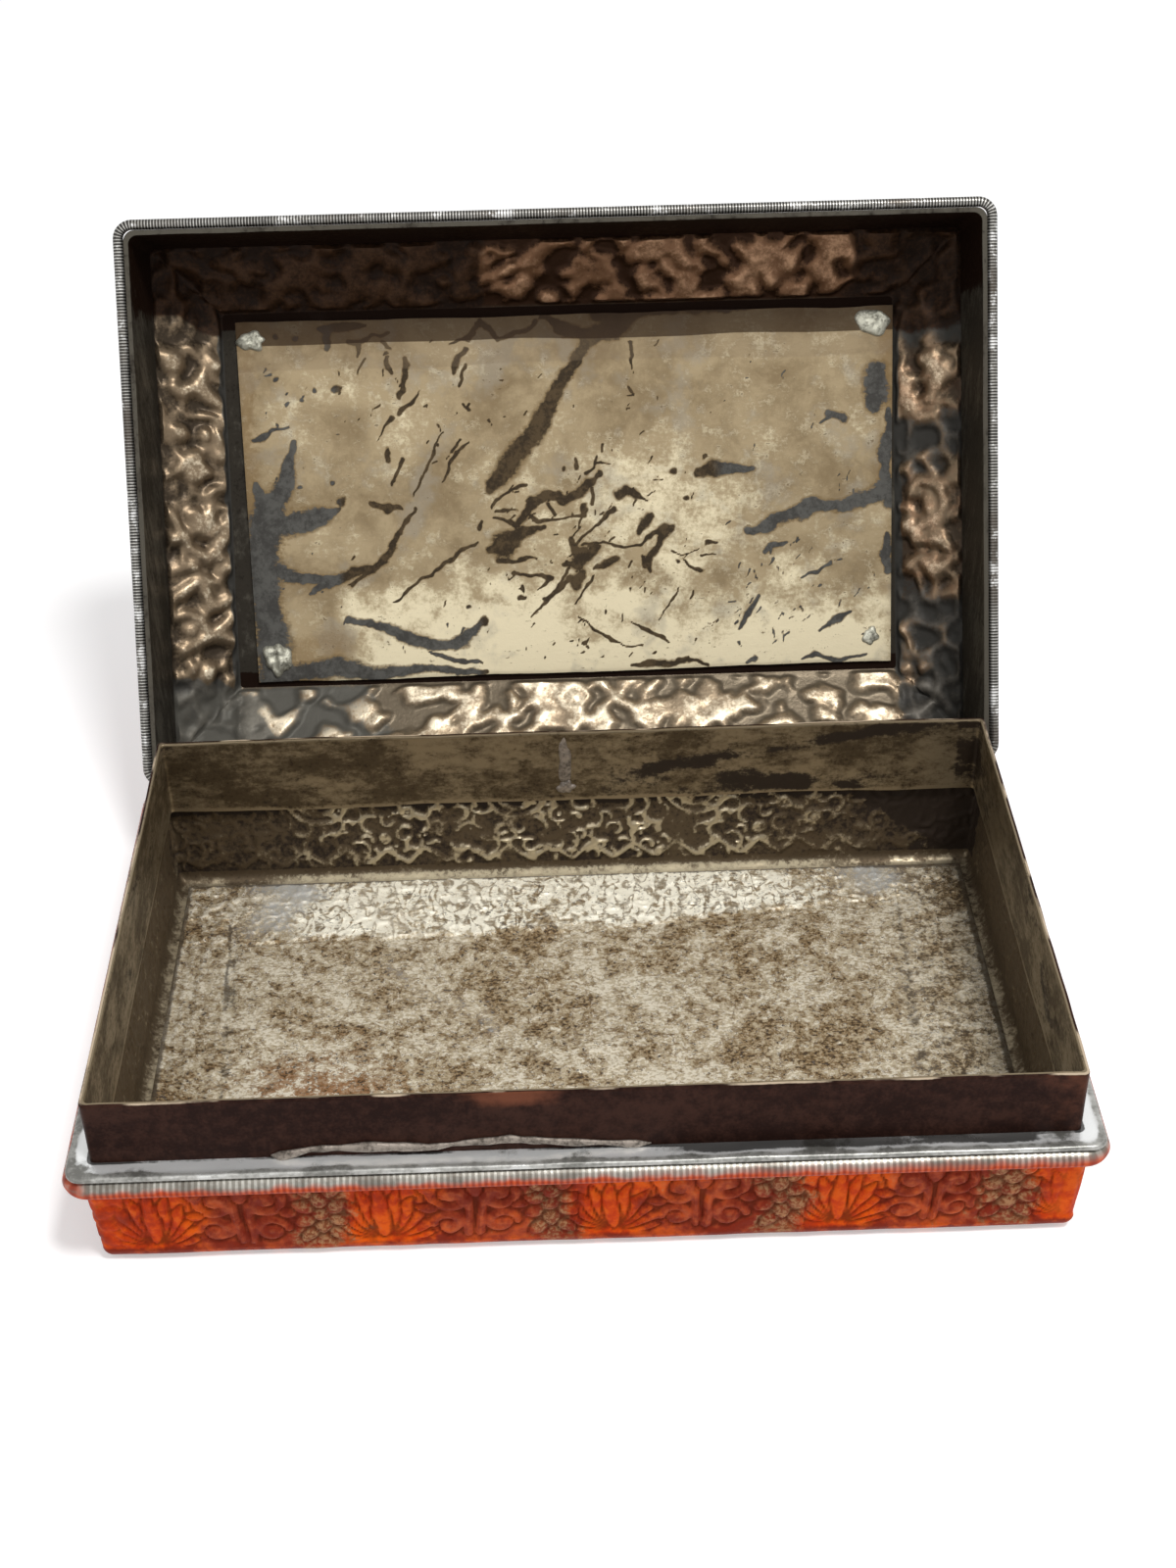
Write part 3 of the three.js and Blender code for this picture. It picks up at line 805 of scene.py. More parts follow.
# %% The bare inside of the wall
skin = Skin("crest", "grime", "bright")
for z in WALL_LEVELS:
    h, spot = wall_heights(FINE, z)
    x, at_back = spot[:, 0], spot[:, 1] > 50
    fade = ramp(z, 3.4, 4.4) * ramp(z, 21.4, 20.4)
    line = strokes.read(FINE["run"] + 0.6 * drift(spot, 6, 31), z - 3.6 + 0.5 * drift(spot, 6, 33))
    line = unit(line * 1.35) * np.clip(0.85 + 0.7 * drift(spot, 4.0, 34), 0.2, 1) * fade
    faint = np.maximum(at_back * ramp(x, -72, -48) * ramp(x, 78, 28), 0.22)
    # Darker ground at the back; painted shade under the collar's foot and in a wedge at the back's right end.
    ground = np.where(at_back, 0.52, 0.12) + 0.6 * ramp(z, 17.6, 19.6)
    ground = ground + 1.1 * at_back * ramp(x + 1.4 * (z - 9), 71, 79)
    push = 0.1 * h * fade - 0.62 * line * (0.4 + 0.6 * faint)
    skin.add(ring(FINE, wall_line(z) - WALL_SHEET, z, out=push), crest=line * faint,
             grime=np.clip(ground - 1.25 * line * faint + 0.2 * drift(spot, 9, 32), 0, 1.2))
for angle, reach, z in turned_foot(FOOT_RADIUS - WALL_SHEET, 8):
    spot = ring(FINE, reach, z)
    at_back = spot[:, 1] > 48
    # Painted sheen: the back of the foot is lightened like the floor's back border.
    bright = at_back * ramp(np.abs(spot[:, 0] + 4), 70, 56) * ramp(angle, 1.25, 0.95)
    skin.add(spot, crest=0.62 - 0.35 * angle, grime=np.where(at_back, 0.08, 0.3), bright=bright)
for reach, z in wall_back(0.5, 0.55, 1.8, 1.25):
    skin.add(ring(FINE, reach, z), grime=1.0)
settle(shell("wall_bare_inside", skin, inside_silver), "tray", "lacquer", "tray_wall")

# %% [markdown]
# ## Tray floor
# The floor is a separate sheet let in between the turned feet of the wall. A double scribed line marks an
# uneven border, 12 to 20 mm wide, with shallow swirls that only show where the light grazes them, and the
# middle is mottled brown by use. A grid with a drawing of its own gives the swirls and the scribed lines.
# The back border gets a painted sheen with painted glints, and the finish adds fine nested lines there, by
# taking the sine of a noise. Both ends are darkened with painted shade.

# %% Floor drawing and sheet
FLOOR_HALF_X, FLOOR_HALF_Y = HALF_X + FOOT_REACH, HALF_Y + FOOT_REACH
SCRIBED = [
    [(-72.4, 30.4, 0.24), (-58.6, 30.8, 0.3), (2.2, 31.6, 0.34), (60, 38.2, 0.3), (67, 39, 0.2)],
    [(-72.2, 37, 0.4), (-70.6, 10, 0.6), (-69, -14, 0.5), (-68, -36, 0.4)],
    [(67.2, 39, 0.4), (66.4, 16, 0.5), (66, -12, 0.6), (65.4, -36, 0.5)],
    [(-68, -35.4, 0.3), (65.4, -35.6, 0.3)],
]
ROSETTES = [(-7, 3.5, 1.3), (-7, 3.5, 2.9), (2.4, -6.8, 2.4), (-0.1, -6.7, 0.5), (2.4, -6.8, 4.2),
            (-30, -3, 2.2)]
swirls = curls(44.0, 21.0, 8, 2.5, 0.72, (0.9, 2.6), rings=0.2)
gx, gy, spot = field(FLOOR_HALF_X, FLOOR_HALF_Y, 395, 243, FLOOR_TOP)
inset = np.minimum(FLOOR_HALF_X - np.abs(gx), FLOOR_HALF_Y - np.abs(gy))
bent = [0.5 * drift(spot, 12, 41 + k) + 0.2 * drift(spot, 2.4, 48 + k) for k in (0, 1)]
# The second scribed line is the first one again, fainter and a little nearer the middle.
scribe = path_field(gx + bent[0], gy + bent[1], SCRIBED)
scribe = unit(scribe + 0.8 * path_field(gx * 1.02 + bent[1], gy * 1.04 + 0.4 + bent[0], SCRIBED))
scribe *= np.clip(0.6 + 0.7 * drift(spot, 6, 42) + 0.3 * drift(spot, 2, 45), 0.1, 0.9)
from_border = gy - np.interp(gx, [-72, 2, 60, 67], [30.6, 31.6, 38.2, 39.0])
swirl = swirls.read(gx + 0.9 * drift(spot, 7, 43), (FLOOR_HALF_Y - gy) + 0.9 * drift(spot, 7, 44))
in_back, in_side = ramp(from_border, 0, 1), ramp(np.abs(gx + 1.5), 68.5, 69.5)
swirl = unit(swirl * 1.4) * (np.maximum(in_back, 0.35 * in_side) + 0.14)
spot[..., 2] += 0.26 * swirl - 0.25 * scribe + 0.16 * drift(spot, 14, 46) + 0.06 * drift(spot, 2.5, 47)
rosette = sum(bell(np.hypot(gx - x, gy - y), r, 0.4) for x, y, r in ROSETTES)
rosette *= unit(0.5 + 1.2 * drift(spot, 2.2, 38))
spot[..., 2] += 0.1 * rosette
spot[..., 2] = np.where(inset < 0.3, FLOOR_TOP - 0.1, spot[..., 2])
print("floor swirls:", swirls.h.shape, "grid:", gx.shape)

# %% Floor finish
def floor_finish():
    """Beige silver, mottled by brown, with a painted sheen and glints on the back border, grey haze, darker
    scribed lines and edges, and painted shade at both ends.
    """
    f = Finish("floor_mottled_silver")
    crest, bright, dark, smoke, ruddy = f.marks("crest", "bright", "grime", "smoke", "ruddy")
    broad, mid = f.noise(13, 5, 0.65, shift=1.0, warp=0.6), f.noise(2.3, 8, 0.75, shift=4.0, warp=0.4)
    fine, grain = f.noise(0.8, 6, 0.75, shift=8.0), f.noise(0.6, 4, 0.65, (1.7, 1, 1.7), shift=6.0)
    glints = f.noise(1.3, 6, 0.75, (2.0, 1, 2), shift=12.0, warp=0.5)
    rolls = (f.noise(3.8, 2, 0.4, (0.8, 1.4, 1), shift=15.0, warp=0.6) * 24).sine()
    tone = mid * 0.4 + fine * 0.48 + broad * 0.12 - bright * 0.05
    wash = broad * 0.55 + mid * 0.45 + fine.sway(0.7) + grain.sway(0.5)
    brown = (tone + broad.sway(0.06) + grain.sway(0.5)).rise(0.505, 0.58)
    pale = (fine * 0.5 + grain * 0.5 - mid.sway(0.3) - broad.sway(0.3) + crest * 0.05).rise(0.515, 0.565)
    # Painted sheen and glints: the back border is painted near white, broken by stretched noise.
    shining = (bright * 0.9 + glints.sway(2.4) + fine.sway(1.2) + rolls * 0.2).rise(0.3, 0.8)
    lines = (fine.sway(1.3) - glints.sway(1.8) - rolls * 0.6).rise(0.12, 0.72)
    specks = (fine * 0.5 + grain * 0.5 + broad.sway(0.25) + mid.sway(0.4)).rise(0.555, 0.605)
    haze = (smoke + mid.sway(1.8) + fine.sway(0.9) + broad.sway(1.2)).rise(0.3, 0.95)
    # shade darkens the scribed lines and edges, and lays painted shade over both ends.
    shade = (dark + mid.sway(0.8) + fine.sway(0.6)).rise(0.36, 0.66)
    f.colour = f.blend((200, 185, 156), (140, 120, 90), tone.rise(0.46, 0.54))
    f.layer((146, 118, 78), wash.rise(0.44, 0.6) * 0.65)
    f.layer((152, 100, 58), (ruddy + mid.sway(1.4) + broad.sway(1.4)).rise(0.3, 1.0) * 0.7)
    f.layer((110, 88, 60), brown * 0.9)
    f.layer((238, 229, 209), pale * 0.9)
    f.layer((255, 249, 230), shining)
    f.layer((112, 94, 67), lines * (bright * 0.8).clip())
    f.layer((58, 43, 30), specks * (0.95 - bright * 0.4).clip())
    f.layer((200, 200, 196), haze * 0.85)
    f.layer((76, 66, 53), shade * 0.85)
    rough = (0.4 + brown * 0.18 + shade * 0.12 + fine.sway(0.35) - bright * 0.08).clip()
    tooth = mid * 0.45 + fine * 0.5 + glints * bright * 0.8
    return f.close(0.42 - shade * 0.3 - bright * 0.3, rough, f.bump(tooth, 0.26, 0.75), gloss=0.25)


print("floor finish is ready")

# %% Floor marks and piece
SMEAR = [[(-40, 24, 1.6), (-32, 15, 2.0), (-22, 9, 2.4), (-16, -1, 1.2)]]
# Painted sheen: back_light lightens the back border.
back_light = ramp(from_border + 1.2 * drift(spot, 3, 34), 0, 2.6) * unit(0.8 + 0.4 * drift(spot, 14, 39))
back_light *= ramp(np.abs(gx + 4) - 5 * drift(spot, 9, 40), 64, 50)
smear = path_field(gx + 2 * bent[0], gy + 2 * bent[1], SMEAR)
# Painted shade darkens both ends of the floor; the scribed lines and edges are darker too.
grime = scribe * np.where(gx > 50, 0.26, np.where(gx < -50, 0.62, 0.44)) - 0.4 * rosette
grime += 0.8 * ramp(inset, 1.4, 0) + 0.46 * ramp(gx, 52, 70) + 0.26 * ramp(gx, -62, -71)
smoke = bell(gx + 4 * drift(spot, 6, 35), -62, 8) + 0.5 * bell(gx, 62, 9)
smoke = smoke * ramp(from_border + 2 * drift(spot, 5, 36), 0, 5) + 0.35 * bell(gx, 66, 5)
smoke = smoke * (0.85 + 0.5 * drift(spot, 8, 37)) + 0.42 * smear
marks = {"crest": unit(swirl + 0.5 * rosette), "bright": back_light, "grime": unit(grime),
         "smoke": unit(smoke), "ruddy": bell(gx, -52, 22) * bell(gy, -22, 24)}
settle(slab("floor_sheet", spot, 0.0, floor_finish(), marks), "tray", "floor_silver", "tray_floor")

# %% [markdown]
# ## Shelf and collar
# The lid sits on a flat polished shelf that runs round the tray. Rubbing has left it bright and slightly
# wavy, and its reflections are painted into its colour as near-white dashes. The collar that stands inside
# it keeps the lid in place: a plain strip with wavering edges, nearly black outside and olive brown inside.
# A box with a Solidify modifier would be too even for either, so both are lofted from rings whose points
# may waver.

# %% Polished shelf
def polished_finish():
    """Rubbed silver with painted reflections in dashes, darker along the collar and in streaks at the
    front right, with painted shade on the underside.
    """
    f = Finish("polished_silver")
    near, grime = f.marks("bright", "grime")
    long, fine = f.noise(3.4, 3, 0.55, (2.6, 2.6, 1), shift=2.0), f.noise(0.8, 3, 0.6, shift=5.0)
    # Painted reflections: near-white dashes, stronger nearer the collar.
    reflection_dashes = (long * 0.9 + fine * 0.15 + near * 0.22).rise(0.58, 0.7)
    f.colour = f.blend((112, 111, 106), (170, 169, 164), (long * 0.7 + fine * 0.4).rise(0.4, 0.65))
    f.layer((240, 241, 240), reflection_dashes * (0.35 + near * 0.6))
    f.layer((50, 47, 44), (grime + long.sway(0.9) + fine.sway(0.4)).rise(0.5, 0.8) * 0.9)
    return f.close(0.6, 0.36 - reflection_dashes * 0.12, f.bump(long * 0.8 + fine * 0.15, 0.3, 0.6))


FLAT = SHELF_REACH - 0.4
under = [(reach, SHELF_UNDER + 0.02) for reach in (0.0, SHELF_REACH / 2, FLAT)]
rounded = [(SHELF_REACH, SHELF_UNDER + 0.15), (SHELF_REACH, SHELF_TOP - 0.4),
           (SHELF_REACH - 0.12, SHELF_TOP - 0.12)]
above = [(reach, SHELF_TOP) for reach in (FLAT, *np.arange(FLAT - 0.4, 0.1, -0.4), 0.0)]
skin = Skin("grime", "bright")
for reach, z in under + rounded + above:
    p = ring(EDGE, reach, z)
    on_top = z > SHELF_TOP - 0.5
    p[:, 2] += (0.14 * drift(p, 7, 51) + 0.06 * drift(p, 2.6, 52)) * on_top * min(reach, 1.0)
    p[(p[:, 1] > NOTCH_FRONT) & (np.abs(p[:, 0]) < NOTCH_HALF), 1] = NOTCH_FRONT
    foot = ramp(reach, 0.9, 0.4) * on_top * unit(0.75 + 0.6 * drift(p, 11, 53))
    streaks = ramp(p[:, 0], 4, 20) * ramp(p[:, 0], 82, 76) * (p[:, 1] < -50) * ramp(reach, 3.3, 1.5)
    streaks = unit(streaks * (1.0 + 0.35 * drift(p * [0.4, 1.6, 0], 3, 54)) * on_top)
    # Painted shade on the underside; the foot along the collar and streaks at the front right are darker.
    skin.add(p, grime=np.maximum.reduce([foot, np.full(len(p), 0.5 * (z < SHELF_UNDER + 0.3)), streaks]),
             bright=ramp(reach, 3.1, 2.3) * on_top)
shelf = shell("shelf_polished", skin, polished_finish(), crease=50)
settle(shelf, "tray", "bright_silver", "tray_shelf")

# %% The collar's strip and its inside
COLLAR_LEVELS = [COLLAR_FOOT, 20.15, 21, 22.2, 23.2, 24.2, 25.4, 26.8, 28.4, 30, 31.6, 33.2, 34.6, 35.8, 36.7,
                 37.15, COLLAR_TOP]
COLLAR_MIDDLE = (COLLAR_TOP, 28.0, COLLAR_FOOT)


def collar_ring(reach, z):
    """A ring of the collar, with its wavering edges and its gentle lean."""
    p = ring(EDGE, reach, z)
    top, foot = ramp(z, 30, 37.3), ramp(z, 23, 20)
    p[:, 2] += top * (0.26 * drift(p * [1, 1, 0], 24, 61) + 0.2 * drift(p * [1, 1, 0], 6, 62))
    p[:, 2] += foot * (0.75 * drift(p * [1, 1, 0], 20, 63) + 0.3 * drift(p * [1, 1, 0], 7, 64))
    push = top * (0.25 * drift(p * [1, 1, 0], 40, 65)) + 0.05 * drift(p, 6, 66)
    p[:, :2] += push[:, None] * np.column_stack([np.cos(EDGE["angle"]), np.sin(EDGE["angle"])])
    return p


skin = Skin("crest", "grime")
for z in COLLAR_LEVELS:
    p = collar_ring(-COLLAR_SHEET + 0.1 * (z == COLLAR_TOP), z)
    x, at_back = p[:, 0], p[:, 1] > 48
    rub = ramp(z, 36.9, 37.3) + ramp(z, 20.6, 20.0) * 0.6
    # The back is darker low down, in a slanting streak and towards the right, and both ends are darker.
    low = ramp(z, 28.5, 24.5) * ramp(np.abs(x), 72, 64)
    slant = bell(z - 0.16 * (x - 38), 31, 1.6) * ramp(x, 12, 18)
    dark_share = at_back * (0.34 * low + 0.55 * slant + 0.18 * ramp(x, 4, 28)) + 0.3 * (np.abs(x) > 80)
    dark_share += 0.3 * drift(p * [1, 1, 2.5], 16, 68) + 0.2 * drift(p * [1, 1, 2], 5, 69)
    skin.add(p, crest=unit(0.45 + rub + 0.2 * drift(p, 9, 67)), grime=unit(dark_share * (1 - rub)))
for z in COLLAR_MIDDLE:
    skin.add(collar_ring(-COLLAR_SHEET / 2, z), crest=0.9)
settle(shell("collar_inside", skin, collar_silver), "tray", "brown_silver", "tray_collar")

# %% The collar's dark outside
def collar_outside_finish():
    """Nearly black brown, ruddy in places, with a bare upper edge."""
    f = Finish("collar_dark_outside")
    crest, ruddy = f.marks("crest", "ruddy")
    broad, small = f.noise(14, 3, 0.55, (1.6, 1.6, 0.7), shift=3.0), f.noise(2.4, 4, 0.6, shift=6.0)
    fine = f.noise(0.6, 3, 0.6, shift=9.0)
    f.colour = f.blend((33, 18, 14), (56, 35, 28), (small * 0.5 + fine * 0.3 + broad * 0.4).rise(0.48, 0.72))
    f.layer((118, 70, 50), (ruddy + small.sway(0.5) + broad.sway(0.6)).rise(0.3, 1.0) * 0.75)
    f.layer((190, 172, 148), (crest + small.sway(0.5)).rise(0.5, 0.85))
    rough = 0.48 + small * 0.12 - broad * 0.06
    return f.close(0.35, rough, f.bump(small * 0.5 + fine * 0.4, 0.12, 0.5), gloss=0.06)


skin = Skin("crest", "ruddy")
for z in COLLAR_LEVELS:
    p = collar_ring(-0.1 * (z == COLLAR_TOP), z)
    patch = bell(p[:, 0], -12, 10) * ramp(z, 32.5, 35.5) + 0.45 * ramp(p[:, 0], 62, 82)
    skin.add(p, crest=ramp(z, 36.9, 37.3) * unit(0.5 + 0.9 * drift(p, 6, 71)),
             ruddy=unit(patch * (p[:, 1] < -40) + 0.16 * drift(p, 14, 72)))
edge_rub = unit(0.55 + 0.9 * drift(p, 6, 71))
for z in COLLAR_MIDDLE:
    skin.add(collar_ring(-COLLAR_SHEET / 2, z), crest=edge_rub)
settle(shell("collar_outside", skin, collar_outside_finish()), "tray", "brown_silver", "tray_collar")

# %% [markdown]
# ## Milled strips
# Under the shelf runs a half-round strip, and round the lid's mouth a wire, both milled across with
# close ribs like the edge of a coin. Such a strip is a section swept along a path and pinched at every
# rib, so Geometry Nodes make it: the path is sampled six times per rib, a sine of the sample's number
# sets the sweep's radius, and the sine is also stored as a mark so that the finish can brighten the crests.

# %% A node tree that mills a strip along a path
SAMPLES = 6


def milling_tree():
    """A tree that sweeps an arc along a path, pinched between ribs. Its sizes are named inputs."""
    tree = bpy.data.node_groups.new("milled_strip", "GeometryNodeTree")
    web = Web(tree)
    for label, kind in [("Path", "Geometry"), ("Ribs", "Int"), ("Swell", "Float"), ("Half Height", "Float"),
                        ("Sweep", "Float"), ("Section Points", "Int"), ("Groove", "Float"),
                        ("Finish", "Material")]:
        tree.interface.new_socket(label, in_out="INPUT", socket_type="NodeSocket" + kind)
    tree.interface.new_socket("Strip", in_out="OUTPUT", socket_type="NodeSocketGeometry")

    def given(label):
        return web.node("NodeGroupInput", out=label)

    def step(kind, inputs, **settings):
        return web.node("GeometryNode" + kind, settings, inputs)

    curve = step("MeshToCurve", {"Mesh": given("Path")})
    curve = step("ResampleCurve", {"Curve": curve, "Count": given("Ribs") * SAMPLES})
    curve = step("SetCurveNormal", {"Curve": curve}, mode="Z_UP")
    rib = (step("InputIndex", {}) * (math.tau / SAMPLES)).sine() * 0.5 + 0.5
    curve = step("StoreNamedAttribute", {"Geometry": curve, "Name": "rib", "Value": rib}, data_type="FLOAT",
                 domain="POINT")
    radius = (rib - 1.0) * given("Groove") + 1.0
    curve = step("SetCurveRadius", {"Curve": curve, "Radius": radius})
    section = {"Resolution": given("Section Points"), "Radius": 1.0, "Start Angle": given("Sweep") * -0.5,
               "Sweep Angle": given("Sweep")}
    arc = step("CurveArc", section, mode="RADIUS")
    arc = step("SetSplineCyclic", {"Geometry": arc, "Cyclic": True})
    size = {"X": given("Swell"), "Y": given("Half Height"), "Z": 1.0}
    arc = step("Transform", {"Geometry": arc, "Scale": web.node("ShaderNodeCombineXYZ", {}, size)})
    strip = step("CurveToMesh", {"Curve": curve, "Profile Curve": arc, "Fill Caps": True})
    strip = step("SetShadeSmooth", {"Geometry": strip, "Shade Smooth": True})
    strip = step("RealizeInstances", {"Geometry": strip})
    strip = step("SetMaterial", {"Geometry": strip, "Material": given("Finish")})
    web.node("NodeGroupOutput", {}, {"Strip": strip})
    return tree


MILLING = milling_tree()


def mill(name, path, closed, lid=False, **sizes):
    """Run the milling tree along a path of points in mm, and keep the result as a plain mesh. The sizes
    are the tree's named inputs, with an underscore for a space."""
    path = open_lid(path) if lid else path
    edges = [(i, i + 1) for i in range(len(path) - 1)] + ([(len(path) - 1, 0)] if closed else [])
    mesh = bpy.data.meshes.new(name + "_path")
    mesh.from_pydata((path * MM).tolist(), edges, [])
    holder = bpy.data.objects.new(name + "_path", mesh)
    bpy.context.scene.collection.objects.link(holder)
    modifier = holder.modifiers.new("milling", "NODES")
    modifier.node_group = MILLING
    for item in MILLING.interface.items_tree:
        key = item.name.replace(" ", "_")
        if item.in_out == "INPUT" and key in sizes:
            modifier[item.identifier] = sizes[key]
    ready = holder.evaluated_get(bpy.context.evaluated_depsgraph_get())
    made = bpy.data.objects.new(name, bpy.data.meshes.new_from_object(ready))
    made.data.name = name
    bpy.context.scene.collection.objects.link(made)
    bpy.data.objects.remove(holder)
    return made


print("milling tree:", len(MILLING.nodes), "nodes")

# %% [markdown]
# The strips' crests are bright and their grooves dark, with duller stretches between. The painter's brush
# also ran over the lower half of the moulding, so its finish lays red over it below a wavering level.

# %% Finish of the milled strips
def milled_finish(name, crest_colour, groove_colour, paint=0.0, tick=(0.35, 0.8), dull=0.6, glint=0.0):
    """Bright crests between dark grooves. Paint is how strongly red covers the lower half."""
    f = Finish(name)
    [rib] = f.marks("rib")
    small, fine = f.noise(5, 4, 0.6, shift=2.0), f.noise(0.8, 3, 0.6, shift=6.0)
    broad = f.noise(17, 3, 0.6, shift=4.0)
    metal = 0.7
    f.colour = f.blend(groove_colour, crest_colour, (rib + small.sway(0.8)).rise(*tick))
    f.layer((74, 66, 58), (broad * 0.7 + small * 0.4 + fine * 0.1).rise(0.56, 0.7) * dull)
    f.layer((240, 240, 238), (small * 0.7 + fine * 0.3).rise(0.52, 0.6) * rib * glint)
    if paint:
        x, z = (f.node("ShaderNodeSeparateXYZ", {}, {0: f.place}, out=k) * (1 / MM) for k in "XZ")
        level = z + small.sway(2.4)
        red = level.rise(22.0, 20.7).most(x.rise(-30.0, 60.0) * level.rise(22.4, 21.0) * 0.8)
        red = red.most(x.rise(-84.5, -87.5) * 0.8 * small.rise(0.35, 0.6))
        f.layer(f.blend((146, 40, 8), (198, 76, 26), rib), red * paint)
        metal = metal - red * 0.7
    return f.close(metal, 0.3 + small * 0.16, f.bump(fine, 0.1, 0.4), gloss=0.1)


print("milled finish is ready")

# %% Moulding under the shelf
MOULDING_SWELL, MOULDING_HALF = 3.45, (SHELF_UNDER - MOULDING_UNDER) / 2
band_path = ring(EDGE, WALL_TOP_REACH - 0.25, MOULDING_UNDER + MOULDING_HALF)
band_finish = milled_finish("milled_half_round", (168, 165, 157), (126, 122, 114), paint=0.95)
moulding = mill("moulding_milled", band_path, True, Ribs=525, Swell=MOULDING_SWELL * MM,
                Half_Height=MOULDING_HALF * MM, Sweep=math.pi, Section_Points=9, Groove=0.06,
                Finish=band_finish)
settle(moulding, "tray", "bright_silver", "tray_moulding")

# %% Milled wire round the lid's mouth
wire_loop = ring(EDGE, WIRE_REACH, WIRE_LEVEL)
gap = (wire_loop[:, 1] > HALF_Y) & (np.abs(wire_loop[:, 0]) < NOTCH_HALF)
first = int(np.where(gap)[0][-1]) + 1
wire_path = np.roll(wire_loop, -first, axis=0)[: int((~gap).sum())]
wire_finish = milled_finish("milled_wire", (182, 180, 174), (62, 60, 57), tick=(0.45, 0.95), dull=0.7,
                            glint=0.9)
wire = mill("lid_wire_milled", wire_path, False, lid=True, Ribs=820, Swell=WIRE_RADIUS * MM,
            Half_Height=WIRE_RADIUS * MM, Sweep=math.tau * 11 / 12, Section_Points=11, Groove=0.12,
            Finish=wire_finish)
settle(wire, "lid", "brown_silver", "lid_wire")

# %% [markdown]
# ## Lid skirt
# The skirt slips over the collar. Inside it is plain and almost black with tarnish, and its front side is
# darker still with painted shade. Outside it carries the same painted ornament as the wall, only chased
# more lightly, since nothing of it shows inside. It is lofted from rings like the wall, and the rings of
# its mouth are lifted over the hinge's notch.

# %% The skirt's section and its dark inside
SKIRT_END = SHOULDER_FOOT - 0.1


def skirt_reach(z, face):
    """The skirt's reach at a height: 0 is its inside, 1 its outside, and a share lies between them."""
    low, high = (pair[0] + face * (pair[1] - pair[0]) for pair in (SKIRT_MOUTH, SKIRT_TOP))
    return low + (high - low) * (z - MOUTH) / (SKIRT_END - MOUTH)


def notch_skirt(p):
    """Lift the points of the mouth over the hinge's notch."""
    back = (p[:, 1] > HALF_Y) & (np.abs(p[:, 0]) < NOTCH_HALF)
    p[back, 2] = np.maximum(p[back, 2], NOTCH_ROOF + 0.05 * (p[back, 2] - MOUTH))
    return p


skin = Skin("crest", "grime")
for z in np.linspace(MOUTH, SKIRT_END, 26):
    p = ring(EDGE, skirt_reach(z, 0), z)
    p = ring(EDGE, skirt_reach(z, 0), z, out=0.07 * drift(p, 9, 81))
    rub = ramp(z, MOUTH + 0.5, MOUTH)
    # Painted shade over tarnish: the front side and the front ends of the sides are darkened.
    heavy = 0.95 * (p[:, 1] < -HALF_Y) + 0.75 * (np.abs(p[:, 0]) > HALF_X) * ramp(p[:, 1], -36, -42)
    crest = unit(0.4 + 0.35 * rub + 0.3 * drift(p, 12, 82))
    grime = unit((heavy + 0.22 * drift(p * [1, 1, 0.3], 8, 83)) * (1 - rub))
    skin.add(notch_skirt(p), crest=crest, grime=grime)
for z, face in [(SKIRT_END, 0.5), (MOUTH + 2.0, 0.5), (MOUTH + 1.6, 1.0), (MOUTH + 0.15, 1.0), (MOUTH, 0.85)]:
    skin.add(notch_skirt(ring(EDGE, skirt_reach(z, face), z)), crest=0.8)
settle(shell("skirt_inside", skin, skirt_silver, lid=True), "lid", "brown_silver", "lid_skirt")

# %% The skirt's painted outside
PAINT_LOW, PAINT_HIGH = MOUTH + 1.65, SHOULDER_FOOT + 0.2
skin = Skin("crest", "orange", "bare")
for z in np.linspace(PAINT_LOW, PAINT_HIGH, 34):
    h, spot = wall_heights(MEDIUM, z - 23.6)
    fade = ramp(z, 26.9, 27.6) * ramp(z, 42.4, 41.7)
    band = 0.5 + (h - 0.5) * fade
    orange, bare = wall_paint(MEDIUM, spot)
    skin.add(notch_skirt(ring(MEDIUM, skirt_reach(z, 1), z, out=-0.3 + 0.55 * band)),
             crest=np.where(fade > 0.02, band, 0.62), orange=orange * fade, bare=bare * (0.6 + 0.4 * fade))
for z in (PAINT_HIGH, 34.0, PAINT_LOW):
    skin.add(notch_skirt(ring(MEDIUM, skirt_reach(z, 0.5), z)))
settle(shell("skirt_painted_outside", skin, lacquer, lid=True), "lid", "lacquer", "lid_skirt")

# %% [markdown]
# ## Lid shoulder
# Between skirt and panel a sloping border was worked up boldly from behind. Its two faces are built apart.
# The outside repeats a flower, crossed leaves and scrolls, painted like the wall. The inside, which the
# photograph shows, follows below with ridges and lumps of its own.

# %% Draw one repeat of the shoulder's outside
SLANT = (SKIRT_TOP[0] - PANEL_REACH) / math.cos(SLOPE)
bold = Chasing(FINE["length"] / 16, SLANT)
middle, half_repeat = SLANT / 2, FINE["length"] / 32
bold.boss(0, middle, 1.9)
bold.whorl(0, middle, 6, 2.5, 4.4, 3.6, vein=0.12)
for angle in (42, 138, 222, 318):
    bold.leaf(half_repeat, middle, angle, 8.2, 4.2, vein=0.12)
for sign in (-1, 1):
    x = half_repeat + sign * 8.6
    bold.scroll(x, middle + 3.4, 90 + sign * 60, 2.9, 1.0, 1.9, sign)
    bold.scroll(x, middle - 3.8, 270 - sign * 60, 2.7, 1.0, 1.8, -sign)
    bold.boss(half_repeat + sign * 4.6, middle, 1.5)
    bold.boss(half_repeat, middle + sign * 5.2, 1.6)
bold.outline(0.5, 0.35)
bold.soften(4)
print("shoulder drawing:", round(bold.long, 1), "by", round(bold.tall, 1), "mm")

# %% Painted outside of the shoulder
BOLD_START = 6.0


def shoulder_spot(share):
    """A level ring at a share of the way from the skirt to the panel."""
    return ring(FINE, SKIRT_TOP[0] + (PANEL_REACH - SKIRT_TOP[0]) * share, 0.0)


